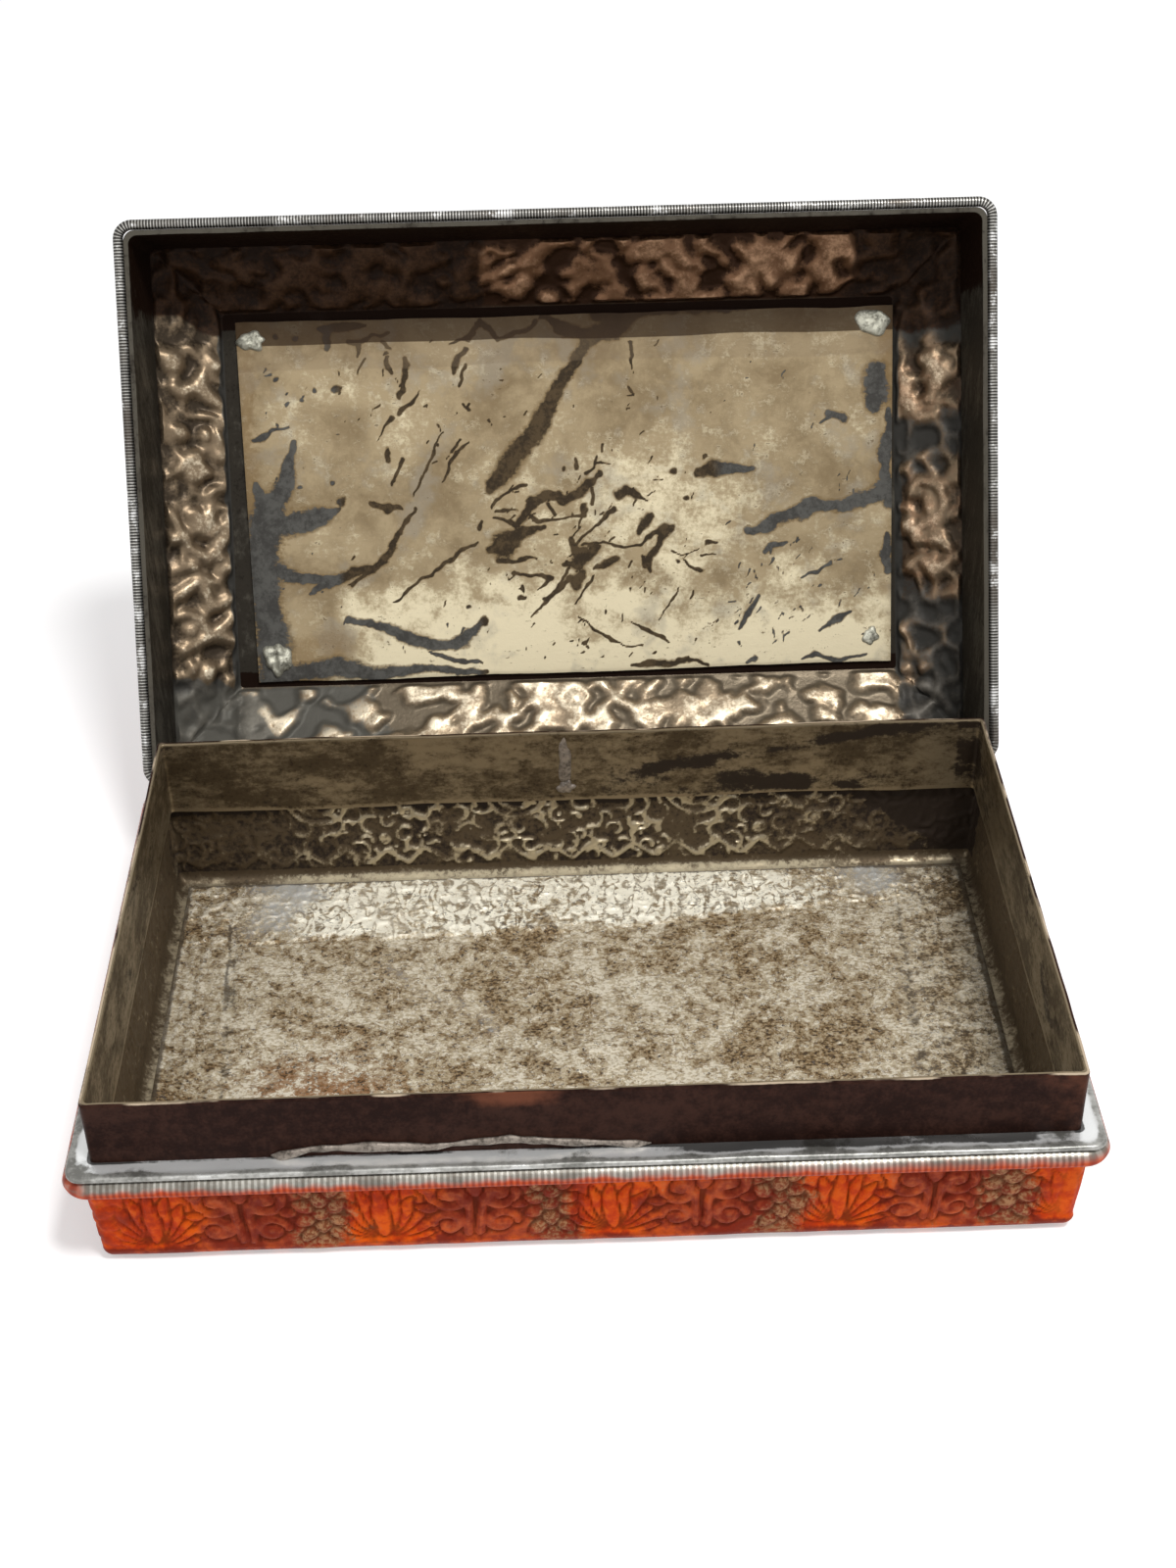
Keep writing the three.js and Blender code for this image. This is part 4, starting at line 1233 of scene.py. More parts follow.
def shoulder_ring(share, face, push=0.0):
    """A ring on the inside (0), in the middle of the sheet (0.5) or on the outside (1) of the border."""
    inside = np.array([[SKIRT_TOP[0], SHOULDER_FOOT], [PANEL_REACH, PANEL_INSIDE]])
    outside = np.array([[SKIRT_TOP[1], SHOULDER_FOOT + RIM_RISE], [PANEL_TOP_REACH, PANEL_TOP]])
    low, high = inside * (1 - face) + outside * face
    reach, z = low + (high - low) * share
    return ring(FINE, reach, z, out=push * math.sin(SLOPE), up=push * math.cos(SLOPE))


skin = Skin("crest", "orange", "bare")
x = (FINE["run"] + BOLD_START) % bold.long
for share in np.linspace(1, 0, 34):
    spot = shoulder_spot(share)
    run = FINE["run"] + BOLD_START + 0.8 * drift(spot, 10, 91)
    h = bold.read(run, share * SLANT + 0.5 * drift(spot, 9, 92))
    h = h * ramp(share, 0, 0.07) * ramp(share, 1, 0.91)
    roll = 0.5 * bell(share, 0.97, 0.03) + 0.35 * bell(share, 0.015, 0.03)
    skin.add(shoulder_ring(share, 1, 0.9 * h - 0.15 + roll), crest=unit(h + roll * 1.2),
             orange=ramp(np.minimum(x, bold.long - x), 7.5, 4.5),
             bare=unit((3.4 - np.abs(x - half_repeat)) / 3 + 0.4 * drift(spot, 8, 94)))
skin.add(ring(FINE, sum(SKIRT_TOP) / 2 - 0.05, SHOULDER_FOOT - 0.5))
for share in (0.0, 0.5, 1.0):
    skin.add(shoulder_ring(share, 0.5))
settle(shell("shoulder_painted_outside", skin, lacquer, lid=True), "lid", "lacquer", "lid_top")

# %% [markdown]
# Inside, the border is what catches the eye: fat smooth lumps and crossing ridges, copper brown and
# darkened with painted shade at the top, bronze at the left, lighter with painted light below, and grey
# with old residue in the corners and at the right. Hollows are painted darker and crests lighter, partly
# as tarnish and wear and partly as painted shade and highlight. The ridges that can be made out are
# written as paths. Loose lumps of uneven size fill the rest, and give way round each ridge. Residue lies
# in hollows first, so the lumps stand out of it as bright islands.

# %% Ridges of the shoulder's inside
RIDGES = [
    [(-82.9, -30.5, 1.5), (-82.8, -30.0, 1.5)], [(-75.4, -30.4, 1.3), (-75.0, -29.8, 1.3)],
    [(-83.2, -25.6, 0.8), (-81.6, -24.0, 1.0), (-78.3, -25.6, 1.1), (-74.2, -21.1, 0.9)],
    [(-78.3, -25.6, 0.9), (-77.0, -28.6, 0.7)], [(-82.7, -15.9, 1.2), (-82.4, -14.6, 1.3)],
    [(-77.7, -15.0, 1.1), (-77.5, -14.6, 1.1)], [(-74.0, -17.6, 0.9), (-73.9, -17.2, 0.9)],
    [(-83.0, -7.4, 0.8), (-80.0, -10.4, 1.0), (-77.4, -7.2, 0.8)], [(-80.0, -6.6, 1.2), (-80.0, -6.2, 1.2)],
    [(-74.2, -10.5, 1.0), (-74.1, -10.2, 1.0)], [(-80.2, 2.0, 1.1), (-78.6, 4.6, 1.4), (-77.0, 2.0, 1.1)],
    [(-84.6, 1.7, 0.8), (-81.3, 9.6, 0.9), (-77.9, 11.6, 1.0), (-74.6, 8.0, 0.8), (-73.2, 2.4, 0.7)],
    [(-84.4, 6.8, 0.9), (-84.3, 7.2, 0.9)], [(-81.6, 13.4, 1.0), (-81.4, 13.6, 1.0)],
    [(-74.0, 13.4, 0.9), (-73.9, 13.6, 0.9)],
    [(-84.2, 19.3, 0.9), (-79.3, 16.4, 1.0), (-77.4, 22.0, 1.0), (-73.6, 20.6, 0.8)],
    [(-79.3, 16.4, 0.9), (-76.4, 17.0, 0.8)], [(-83.6, 31.2, 0.9), (-77.2, 27.8, 1.0), (-82.6, 23.4, 0.9)],
    [(-73.2, 29.9, 0.8), (-77.2, 27.8, 1.0), (-73.2, 24.2, 0.8)], [(-82.4, 27.4, 1.1), (-82.2, 27.6, 1.1)],
    [(-79.5, 36.3, 1.3), (-79.2, 38.0, 1.1)], [(-82.6, 34.6, 0.9), (-82.6, 35.0, 0.9)],
    [(80.0, -26.6, 1.3), (82.4, -24.0, 1.5), (80.6, -20.6, 0.9)],
    [(75.6, -22.4, 0.9), (75.4, -18.4, 1.1), (77.4, -15.2, 0.9), (80.8, -15.0, 0.8)],
    [(79.4, -18.4, 0.9), (79.5, -17.8, 0.9)],
    [(76.6, 2.4, 0.8), (78.2, -0.6, 0.9), (81.8, 0.4, 0.9), (83.2, 4.6, 0.9), (81.4, 8.4, 0.9),
     (78.0, 9.0, 1.0)], [(80.0, 4.6, 1.3), (80.0, 5.0, 1.3)],
    [(75.4, 8.6, 0.9), (77.6, 11.8, 1.1), (81.6, 11.3, 1.1), (83.4, 13.6, 0.8)],
    [(76.0, 17.6, 1.0), (78.6, 15.4, 0.9), (80.9, 18.5, 1.1), (83.2, 17.0, 0.8)],
    [(74.4, 40.5, 0.8), (74.6, 40.5, 0.8)], [(78.1, 40.1, 0.8), (78.2, 40.1, 0.8)],
    [(74.9, 43.6, 0.8), (75.1, 43.6, 0.8)], [(78.2, 44.0, 0.8), (78.4, 44.0, 0.8)],
    [(-2.4, 44.6, 0.6), (-0.6, 46.8, 0.6), (2.6, 46.8, 0.6), (4.4, 44.4, 0.6), (2.6, 42.2, 0.6),
     (-0.8, 42.2, 0.6), (-2.4, 44.6, 0.6)], [(0.9, 44.5, 1.1), (1.3, 44.5, 1.1)],
    [(6.4, 48.4, 0.6), (9.4, 44.4, 0.8), (7.4, 41.4, 0.7)],
    [(-5.4, 48.0, 0.6), (-7.8, 44.4, 0.8), (-5.8, 41.6, 0.7)], [(9.4, 44.4, 0.8), (13.6, 47.6, 0.7)],
    [(38.6, -51.6, 0.7), (42.2, -48.0, 0.9), (46.0, -44.0, 0.8)],
    [(46.0, -51.4, 0.7), (42.2, -48.0, 0.9), (38.6, -44.2, 0.8)], [(49.6, -48.0, 1.2), (50.2, -48.0, 1.2)],
    [(-33.6, -50.6, 0.7), (-32.0, -48.0, 0.9), (-33.8, -44.4, 0.8), (-29.0, -42.4, 0.6)],
    [(-36.4, -46.6, 0.6), (-34.6, -44.0, 0.6)], [(-70.6, -50.0, 0.5), (-66.0, -47.6, 0.8)],
    [(-57.4, -47.6, 0.7), (-56.8, -47.2, 0.7)],
]
print("ridges drawn:", len(RIDGES))

# %% Lumps between the ridges
def islands(spot, size, seed):
    """Joined islands with winding channels between them, 1 on top and 0 below, from two turned noises."""
    c, s = math.cos(0.6), math.sin(0.6)
    x, y, z = (spot[..., k] for k in range(3))
    turned = np.stack([x * c - y * s, x * s + y * c, z], -1)
    swell = drift(turned, size, seed) + 0.55 * drift(turned * [1, 1.2, 1], size * 0.62, seed + 1)
    return ease(ramp(swell, -0.3, 0.12))


def lump_heights(spot):
    """Heights of the inside, 0 in a hollow and 1 on a lump, at points of a ring."""
    x = spot[:, 0] + 1.2 * drift(spot, 5, 91) + 0.55 * drift(spot, 2.2, 97)
    y = spot[:, 1] + 1.2 * drift(spot, 5, 92) + 0.55 * drift(spot, 2.2, 98)
    ends = ramp(np.abs(spot[:, 0]), 71.6, 73.2)
    edge, level = lumps(x, y, 4.3, 17)
    lump = np.sin(unit(edge / 1.8) * math.pi / 2) * np.where(level > 0.28, 0.55 + 0.4 * level, 0.1)
    rim = ease(ramp(lumps(x + 31.0, y * 0.92, 5.6, 23)[0], 1.25, 0))
    rim = rim * np.clip(0.75 + 0.5 * drift(spot, 6, 88), 0.3, 1)
    band = islands(np.stack([x, y, spot[:, 2]], -1), 3.3, 61) * (0.74 + 0.2 * drift(spot, 5, 84))
    bent = [0.7 * drift(spot, 4, 95 + k) + 0.4 * drift(spot, 1.8, 85 + k) for k in (0, 1)]
    drawn = path_field(spot[:, 0] + bent[0], spot[:, 1] + bent[1], RIDGES)
    ridge = np.sin(unit(drawn / 0.75) * math.pi / 2)
    # Lumps with rims fill the short ends, and islands the long sides. Both give way to the drawn ridges.
    base = (1 - ends) * band + ends * (0.42 * lump + 0.62 * rim)
    h = 1 - (1 - base * (1 - 0.45 * unit(drawn * 3))) * (1 - 0.8 * ridge)
    return unit(h + 0.13 * drift(spot, 2.6, 89) + 0.08 * drift(spot, 1.3, 90))


shares = np.linspace(0, 1, 54)
heights_in = soften(np.stack([lump_heights(shoulder_spot(share)) for share in shares]), 3)
heights_in = unit((heights_in - 0.05) * 1.15)
print("lumps of the inside: mean height", round(float(heights_in.mean()), 2))

# %% Residue and finish of the relief
def residue(spot, share):
    """Where grey residue and brown soot lie on the inside, where it turns copper brown and darker with
    painted shade, and where painted light makes it pale.
    """
    x, y = spot[:, 0], spot[:, 1]
    ragged = 0.6 * drift(spot, 8, 93) + 0.4 * drift(spot, 3, 94)
    front, back = ramp(y, -39.4, -41.4), ramp(y, 39.4, 41.4)
    left, right = ramp(x, -71.4, -73.4), ramp(x, 71.4, 73.4)
    # Two golden stretches of the right side stayed clean.
    gold = bell(y, -22.7, 5.5) + bell(y, 11.5, 9.5)
    soot = [front * ramp(x - 5 * ragged, -14, -18), front * ramp(x + 5 * ragged, 61, 66),
            left * ramp(y - 0.6 * (x + 78) - 5 * ragged, -36, -41), right * ramp(y - 4 * ragged, -31, -35)]
    slate = [right * unit(0.6 - 0.75 * gold + 0.35 * ragged), back * 0.62 * ramp(x - 9 * ragged, -36, -46),
             ramp(np.hypot(x + 84, (y - 51) * 1.5) - 7 * ragged, 25, 17),
             ramp(np.hypot(x - 84, y - 50) - 5 * ragged, 15, 9),
             np.maximum(left, right) * 0.9 * ramp(share + 0.05 * ragged, 0.84, 0.92)]
    # copper and shade is copper brown darkened by painted shade, most at the front; pale is painted light.
    return {"slate": np.maximum.reduce(slate), "soot": np.maximum.reduce(soot),
            "copper_and_shade": unit(front + 0.5 * right + 0.2 * left + 0.25 * ragged * (1 - back)),
            "pale": unit(back + 0.3 * ragged * back) * ramp(x, 74, 70)}


def relief_finish():
    """Silver by height, with painted shade in hollows and painted highlights on crests besides tarnish and
    wear, turned copper brown and darker with painted shade at the top, under grey residue and brown soot.
    """
    f = Finish("lid_relief_silver")
    crest, slate, soot, copper_and_shade, pale = f.marks("crest", "slate", "soot", "copper_and_shade", "pale")
    small, fine = f.noise(2.2, 4, 0.6, shift=9.0), f.noise(0.7, 4, 0.65, shift=17.0)
    # Height sets the colour: darker hollows and lighter crests, partly painted shade and highlight.
    level = crest * 0.82 + small.sway(0.7) + fine.sway(0.6)
    body = f.blend((60, 51, 41), (124, 107, 86), level.rise(0.02, 0.48))
    body = f.blend(body, (126, 114, 95), pale * 0.5)
    worn = f.blend((150, 132, 108), (226, 211, 184), (level + pale * 0.17).rise(0.68, 1.0))
    warm = f.blend((46, 29, 18), (112, 82, 60), level.rise(0.08, 0.48))
    warm = f.blend(warm, (176, 140, 110), level.rise(0.52, 0.95))
    ash = f.blend((52, 51, 48), (108, 105, 98), (small * 0.5 + crest * 0.5).rise(0.3, 0.75))
    ash = f.blend(ash, (108, 106, 98), pale * 0.45)
    char = (small * 0.45 + fine * 0.4 + crest * 0.15).rise(0.36, 0.68)
    char = f.blend((26, 15, 8), (62, 41, 26), char)
    darkened = (slate * 1.3 - crest * 0.45 + small.sway(0.55) + fine.sway(0.4)).rise(0.34, 0.66)
    black = (soot * 1.3 - crest * 0.24 + small.sway(0.6) + fine.sway(0.5)).rise(0.34, 0.72)
    f.colour = f.blend(body, worn, (level + pale * 0.26).rise(0.52, 0.86))
    # copper and shade turns the colour copper brown and darker, partly as painted shade.
    f.layer(warm, (copper_and_shade + small.sway(0.6)).rise(0.3, 0.8))
    f.layer(ash, darkened * 0.92)
    f.layer(char, black * 0.95)
    metal = 0.58 - darkened * 0.36 - pale * 0.14 * (1 - darkened) - black * 0.36 * (1 - darkened)
    rough = 0.35 + darkened * 0.12 + black * 0.16 + fine.sway(0.2)
    return f.close(metal, rough, f.bump(small * 0.5 + fine * 0.5, 0.2, 0.6), gloss=0.1)


print("relief finish is ready")

# %% Bare inside of the shoulder
skin = Skin("crest", "slate", "soot", "copper_and_shade", "pale")
for share, h in zip(shares, heights_in):
    spot = shoulder_spot(share)
    h = h * ramp(share, 0, 0.04) * ramp(share, 0.97, 0.91)
    depth = np.where(np.abs(spot[:, 0]) > 72.4, 1.9, 1.4)
    skin.add(shoulder_ring(share, 0, 0.12 * ramp(share, 1, 0.9) - depth * h), crest=h, **residue(spot, share))
for share in (1.0, 0.5, 0.0):
    skin.add(shoulder_ring(share, 0.5))
settle(shell("shoulder_relief", skin, relief_finish(), lid=True), "lid", "lacquer", "lid_top")

# %% [markdown]
# ## Lid panel
# The photograph shows only the inside of the panel, as a narrow strip round the backing plate. The
# outside is drawn in the manner of the wall: a many-petalled flower in the middle, scrolls beside it and
# fans in the corners. One quarter is drawn and mirrored, which is how such a panel was set out by hand.

# %% Draw the panel
SCROLLS = [(34, 13, 200, 7.2, 1.3, 2.6, 1), (48, 9, 0, 5.2, 1.2, 2.2, -1), (16, 31, 60, 6.4, 1.3, 2.4, -1),
           (38, 29, 90, 6.0, 1.3, 2.4, 1), (63, 9.5, 180, 4.6, 1.1, 2.0, 1), (27, 24, 300, 3.4, 1.0, 1.8, 1)]
LEAVES = [(43, 18, 60, 8, 4), (25, 38, 100, 7, 3.6), (46, 33, 250, 6, 3.2), (56, 6, 80, 6, 3.2),
          (5, 34, 60, 7, 3.4), (30, 33, 20, 6, 3), (22, 20, 60, 7, 3.4), (55, 16, 330, 5, 3),
          (8, 24, 100, 7, 3.2), (24, 8, 350, 7, 3.2)]
panel = Chasing(146.0, 82.0, step=0.2)
mid_x, mid_y = panel.long / 2, panel.tall / 2
panel.whorl(mid_x, mid_y, 12, 5.0, 8.4, 4.0, vein=0.35)
panel.whorl(mid_x, mid_y, 16, 14.2, 6.4, 4.0, vein=0.35, offset=11.25)
panel.boss(mid_x, mid_y, 4.2)
for a in np.arange(24) * math.tau / 24:
    panel.boss(mid_x + 23.2 * math.cos(a), mid_y + 23.2 * math.sin(a), 1.5)
for angle in (8, 28, 45, 62, 82):
    panel.leaf(5.5, 5.5, angle, 21 - 0.12 * abs(angle - 45), 6.0)
for scroll in SCROLLS:
    panel.scroll(*scroll)
for leaf in LEAVES:
    panel.leaf(*leaf)
panel.boss(24, 40.8, 2.4)
quarter = panel.h
panel.h = np.maximum.reduce([quarter, quarter[::-1], quarter[:, ::-1], quarter[::-1, ::-1]])
panel.outline(0.6, 0.42)
panel.soften(3)
print("panel drawing:", panel.h.shape, "points")

# %% Painted outside of the panel
PANEL_HALF_X, PANEL_HALF_Y, PAINTED_BACK, BARE_BACK = 72.7, 40.7, 51.55, 51.6
gx, gy, spot = field(PANEL_HALF_X, PANEL_HALF_Y, 293, 165)
h = panel.read(gx + mid_x + 0.5 * drift(spot, 9, 101), gy + mid_y + 0.5 * drift(spot, 9, 102))
fade = ramp(np.minimum(PANEL_HALF_X - np.abs(gx), PANEL_HALF_Y - np.abs(gy)), 1.6, 2.6)
spot[..., 2] = PANEL_TOP - 0.25 + fade * (0.95 * h - 0.2) + 0.25 * drift(spot, 40, 103) * fade
centre = np.hypot(gx, gy)
orange = ramp(centre, 23, 21) + ramp(np.hypot(72 - np.abs(gx), 40 - np.abs(gy)), 24, 20)
bare = ramp(centre, 5.2, 3.7) + bell(np.hypot(np.abs(gx) - 49, gy), 2, 5)
bare += 0.5 * unit(drift(spot, 16, 104) - 0.3)
marks = {"crest": unit(0.5 + (h - 0.5) * fade), "orange": unit(orange), "bare": unit(bare)}
panel_out = slab("panel_painted_outside", spot, PAINTED_BACK, lacquer, marks, lid=True)
settle(panel_out, "lid", "lacquer", "lid_top")

# %% The panel's inside, behind the plate
gx, gy, spot = field(PANEL_HALF_X - 0.1, PANEL_HALF_Y - 0.1, 146, 82)
spot[..., 2] = PANEL_INSIDE + 0.1 * drift(spot, 6, 111)
# Painted shadow: the strips along the front and back edges, in the gaps beside the plate, are dark.
marks = {"crest": 0.2 + 0.3 * drift(spot, 6, 112),
         "grime": np.where(np.abs(gy) > 37, 1.0, 0.1) + 0.2 * drift(spot, 8, 113)}
settle(slab("panel_inside", spot, BARE_BACK, skirt_silver, marks, lid=True), "lid", "lacquer", "lid_top")

# %% [markdown]
# ## Backing plate
# A plain plate was soldered behind the panel to cover the back of the relief. Its edges were cut by hand
# and it is a little out of square. Black flux and dirt ran over it in streaks and branches. Each streak
# is a path with a width; the distance from the nearest path becomes a mark that noise then frays.

# %% Streaks on the plate
STREAKS = [
    [(18, -40, 1.4), (11.7, -35.5, 1.9), (6.3, -33, 1.2), (0.8, -25, 1.3), (-5.9, -13.7, 1.8),
     (-11.5, -6.5, 2.3), (-16, -2.5, 1.4)],
    [(9, -38, 1.5), (20, -39, 0.9), (30, -38.6, 1.2), (44, -39, 0.5)],
    [(7, -33, 1.4), (1, -36, 0.8), (-4, -38, 0.5)],
    [(-58.4, -13, 0.5), (-60, -6, 1.6), (-63, 0, 2.6), (-64.4, 5, 4.2), (-66, 10, 3.6), (-66, 18, 3.3),
     (-65, 28, 3.4), (-64, 39, 4.2)], [(-66.5, -4, 0.6), (-65.5, 2, 1.6)],
    [(-65, 6, 2.4), (-57, 4, 2.6), (-52, 3.4, 1.7), (-48.6, 1.6, 0.5)],
    [(-66, 14, 2.0), (-58, 17, 1.2), (-52, 17, 0.6)],
    [(-48, 25.5, 0.5), (-41, 27.5, 0.9), (-34, 30.5, 1.4), (-29, 31.8, 0.9), (-23, 31.4, 1.3),
     (-19, 27, 0.4)], [(29.4, -3.8, 0.8), (33, -4.6, 1.5), (37, -4.2, 1.1), (41.3, -4.4, 0.6)],
    [(40.2, 9, 0.7), (44, 8.2, 1.7), (49, 6.2, 1.3), (55, 3.8, 1.6), (61, 4.4, 0.9), (66, 2.6, 1.6),
     (72, 0.6, 2.0)], [(71.4, -16, 0.5), (71, -10, 1.5), (70.6, -4, 1.0), (71.6, 3, 2.0)],
    [(68.4, -24.8, 2.2), (68.8, -20, 2.6), (68.2, -17.4, 1.6)],
    [(-56.6, 19.8, 0.4), (-52, 17.8, 1.2), (-46, 15.6, 0.8), (-40.6, 15, 0.3)],
    [(-33, 2.4, 0.3), (-36, 8, 0.5), (-40, 14, 0.9), (-47, 18.4, 0.4)],
    [(58.4, -15.6, 0.8), (61.4, -15, 0.9)], [(57, -13.4, 0.3), (58.6, -14.6, 0.4)],
    [(41.8, 23.6, 0.4), (40, 27.4, 0.8), (37.6, 30.6, 0.3)],
    [(-42, 0.8, 0.5), (-38.4, 2.2, 0.9), (-35.6, 2.2, 0.4)],
    [(-19, 9.6, 0.2), (-28, 15.4, 0.5), (-37.6, 22.4, 0.2)],
    [(55.6, 31.2, 0.3), (59, 29.2, 0.7), (62.6, 27.8, 0.3)],
    [(14, 28, 0.2), (18, 31, 0.5), (22.6, 33.2, 0.2)], [(-31, 33, 0.3), (-25, 35.4, 0.6), (-19, 36.2, 0.2)],
    [(43.4, 14.6, 0.4), (46, 12.6, 0.8), (49, 11.8, 0.3)], [(26, 15, 0.2), (30, 18, 0.4)],
    [(2, 27, 0.2), (8, 31, 0.4), (16, 34, 0.2)], [(52, 20, 0.2), (58, 17, 0.4)],
    [(-16.4, 11, 1), (-13.6, 10.7, 2.4), (-10.3, 9, 1.4), (-4.3, 7.5, 0.5)],
    [(-14.8, 13.6, 0.5), (-10.1, 14, 0.45), (-6.2, 14.1, 0.2)],
    [(-11.4, 17.1, 0.3), (-6.7, 17.1, 0.35), (-3.3, 17.8, 0.55), (-6.4, 20.8, 0.15)],
    [(-9.8, 6.9, 0.8), (-8, 3.6, 0.9), (-6.6, 1.1, 0.9), (-4, 0.1, 0.9), (-1.9, 0.6, 0.6)],
    [(-16.1, 2.5, 0.25), (-14.7, 0.6, 0.3), (-11.7, -1.2, 0.35), (-7.8, -2.3, 0.25)],
    [(-14.8, 3.2, 0.3), (-12.2, 2.6, 0.4), (-9.7, 2.7, 0.2)],
    [(-15.3, 4.6, 0.35), (-12.8, 5.3, 0.45), (-10.3, 7.1, 0.6)], [(-18.6, 7.1, 0.3), (-17.9, 5.4, 0.3)],
    [(-7.2, 4.4, 0.5), (-5.5, 6, 0.5), (-2.5, 5.9, 0.35), (1.4, 5.1, 0.2), (4, 4.8, 0.4)],
    [(-3.7, 2, 0.5), (-2.5, 4.2, 0.35)],
    [(-1.1, 0.6, 0.8), (0.8, 1.7, 0.9), (3.7, 0.3, 0.9), (5.9, -2, 1.1), (7.6, -3.2, 0.6),
     (8.7, -4.9, 0.5)], [(6.7, -0.7, 0.4), (6.6, 2.7, 0.35)], [(4.9, 3.1, 0.7), (4.4, 4.8, 0.6)],
    [(3, -7.3, 0.25), (3.4, -5.4, 0.4)], [(5.5, -4.1, 0.4), (7.3, -5.7, 0.3), (7.8, -8.3, 0.2)],
    [(7.7, -6.8, 0.25), (10.7, -6.4, 0.2)], [(8.9, -10.8, 0.3), (9, -9.1, 0.3)],
    [(1.2, 9.8, 0.4), (2.5, 12, 1.1), (3.7, 13.3, 1.8), (2.8, 15.4, 1.5), (-0.2, 15.5, 0.5)],
    [(6.8, 11.7, 0.8), (5, 13.8, 1.2)], [(3.6, 18, 1.1), (2.2, 20.1, 1.2), (1, 18.8, 0.7)],
    [(7, 18.1, 0.2), (1.7, 24, 0.2)], [(11.4, 14.4, 0.7), (7.9, 16, 0.6), (6.6, 16.6, 0.3)],
    [(1, 16.6, 0.25), (-3, 21.7, 0.35), (-7.5, 26.7, 0.15)], [(0.1, 19.2, 0.4), (-4.8, 22.9, 0.35)],
    [(2.5, 10.7, 0.25), (6.9, 7, 0.2), (11.3, 3.7, 0.45)], [(1.7, 9.4, 0.2), (3.9, 5.2, 0.2)],
    [(11.8, 0.7, 0.9), (14, -0.7, 1), (15.6, 0.9, 0.8), (18.2, 2.4, 0.2)],
    [(15.9, 8.5, 0.7), (17.2, 6.9, 1.1), (18.7, 5.6, 0.7)],
    [(3.8, 10.9, 0.2), (8.1, 10.9, 0.25), (12.8, 11.9, 0.3), (17.1, 11.1, 0.35), (19.3, 9.1, 0.5),
     (21.9, 8.3, 1.2), (23.6, 8.1, 0.6)],
    [(21.9, 8.7, 1.1), (20.5, 12.1, 0.8), (18.7, 14.2, 1), (18.6, 17.6, 0.4)],
    [(17.5, 13.7, 0.5), (17.8, 16.3, 0.5)], [(19.8, -2.4, 0.15), (22.2, -3, 0.15)],
    [(23.9, 13.3, 0.3), (25.6, 14.2, 0.25), (29.3, 12.3, 0.1)], [(30.3, 14.1, 0.3), (33.4, 13.8, 0.2)],
    [(31.1, 11.3, 0.4), (33.9, 11.2, 0.3)], [(20.5, 28.4, 0.15), (23.3, 23.3, 0.2), (25, 21.2, 0.1)],
    [(-10.8, 22.1, 0.35), (-9, 22.4, 0.3)], [(-52.1, -37.2, 0.5), (-50, -36.9, 1.2), (-50.6, -32.6, 0.6)],
    [(-50, -36.9, 1), (-45.3, -37.4, 0.9), (-42, -36.8, 0.3)],
    [(-45.7, -33.9, 0.5), (-43.8, -33.6, 0.8), (-43.7, -30.5, 0.2)],
    [(-43.8, -33.6, 0.5), (-40.4, -34.6, 0.4), (-36.6, -35.4, 0.3)],
    [(-37.9, -33.5, 0.4), (-36.3, -32.2, 0.4)],
    [(-37.2, -30.1, 0.4), (-37.5, -28, 0.5), (-36.5, -26.5, 0.4)],
    [(-41.9, -30, 0.3), (-43.7, -27.2, 0.15)],
    [(-33.6, -30.2, 0.3), (-32.8, -28.3, 0.6), (-33.8, -25.4, 0.5), (-35.4, -22.1, 0.4)],
    [(-30.5, -23.6, 0.15), (-32.5, -21.2, 0.4), (-35.1, -18.7, 0.4)],
    [(-36.4, -17.9, 0.4), (-40, -13, 0.1)], [(-20.4, -31.5, 0.5), (-22.4, -28.9, 0.8), (-22.9, -26.8, 0.5)],
    [(-20.5, -28, 0.3), (-21.8, -23.6, 0.25)], [(-21.1, -19.6, 0.3), (-20.2, -18.7, 0.5)],
    [(-37.6, -11.2, 0.55), (-37.8, -8.3, 0.5)],
    [(-34.3, -8.6, 0.5), (-35.6, -6.1, 0.4), (-36.8, -2.4, 0.3)],
    [(-25.5, -14.1, 0.12), (-29.7, -6, 0.25), (-33.1, 0.3, 0.2)],
    [(-20.3, -11.4, 0.2), (-23.2, -9.2, 0.5), (-26.6, -3.1, 0.2)],
    [(-22.4, -11.9, 0.25), (-24.4, -9.4, 0.35)],
    [(-66.8, -12.9, 0.6), (-65.5, -13.7, 0.5), (-62.7, -15.5, 0.4), (-59, -16.3, 0.3)],
    [(-19.1, -34, 0.4), (-16.2, -37, 0.5), (-12.7, -33.8, 0.45), (-7.4, -35.1, 0.6), (-5.2, -37.1, 0.6)],
    [(-2, -36.6, 0.5), (0.4, -34.5, 0.7), (6.4, -34.7, 0.8)], [(-19.1, -34, 0.4), (-24.4, -32.7, 0.2)],
    [(14.8, -32, 0.4), (16.3, -25.3, 0.15)], [(14.5, -22.6, 0.3), (16.2, -21.5, 0.3)],
    [(-61, 37.4, 1.8), (-51, 36.4, 1.9), (-43, 37.4, 1.3), (-34, 37.6, 0.9), (-18, 38.2, 0.5)],
    [(14, 38.4, 0.3), (20, 37.8, 0.8), (24, 36.8, 0.5), (31, 38.4, 0.3)], [(39, 38.3, 0.3), (41, 37, 0.5)],
    [(52, 38.2, 0.3), (55, 36.6, 0.6), (61, 38.2, 0.5), (66, 37, 0.2)],
    [(71, 11, 0.6), (70.2, 15, 1.2), (70.8, 19, 0.7)],
]
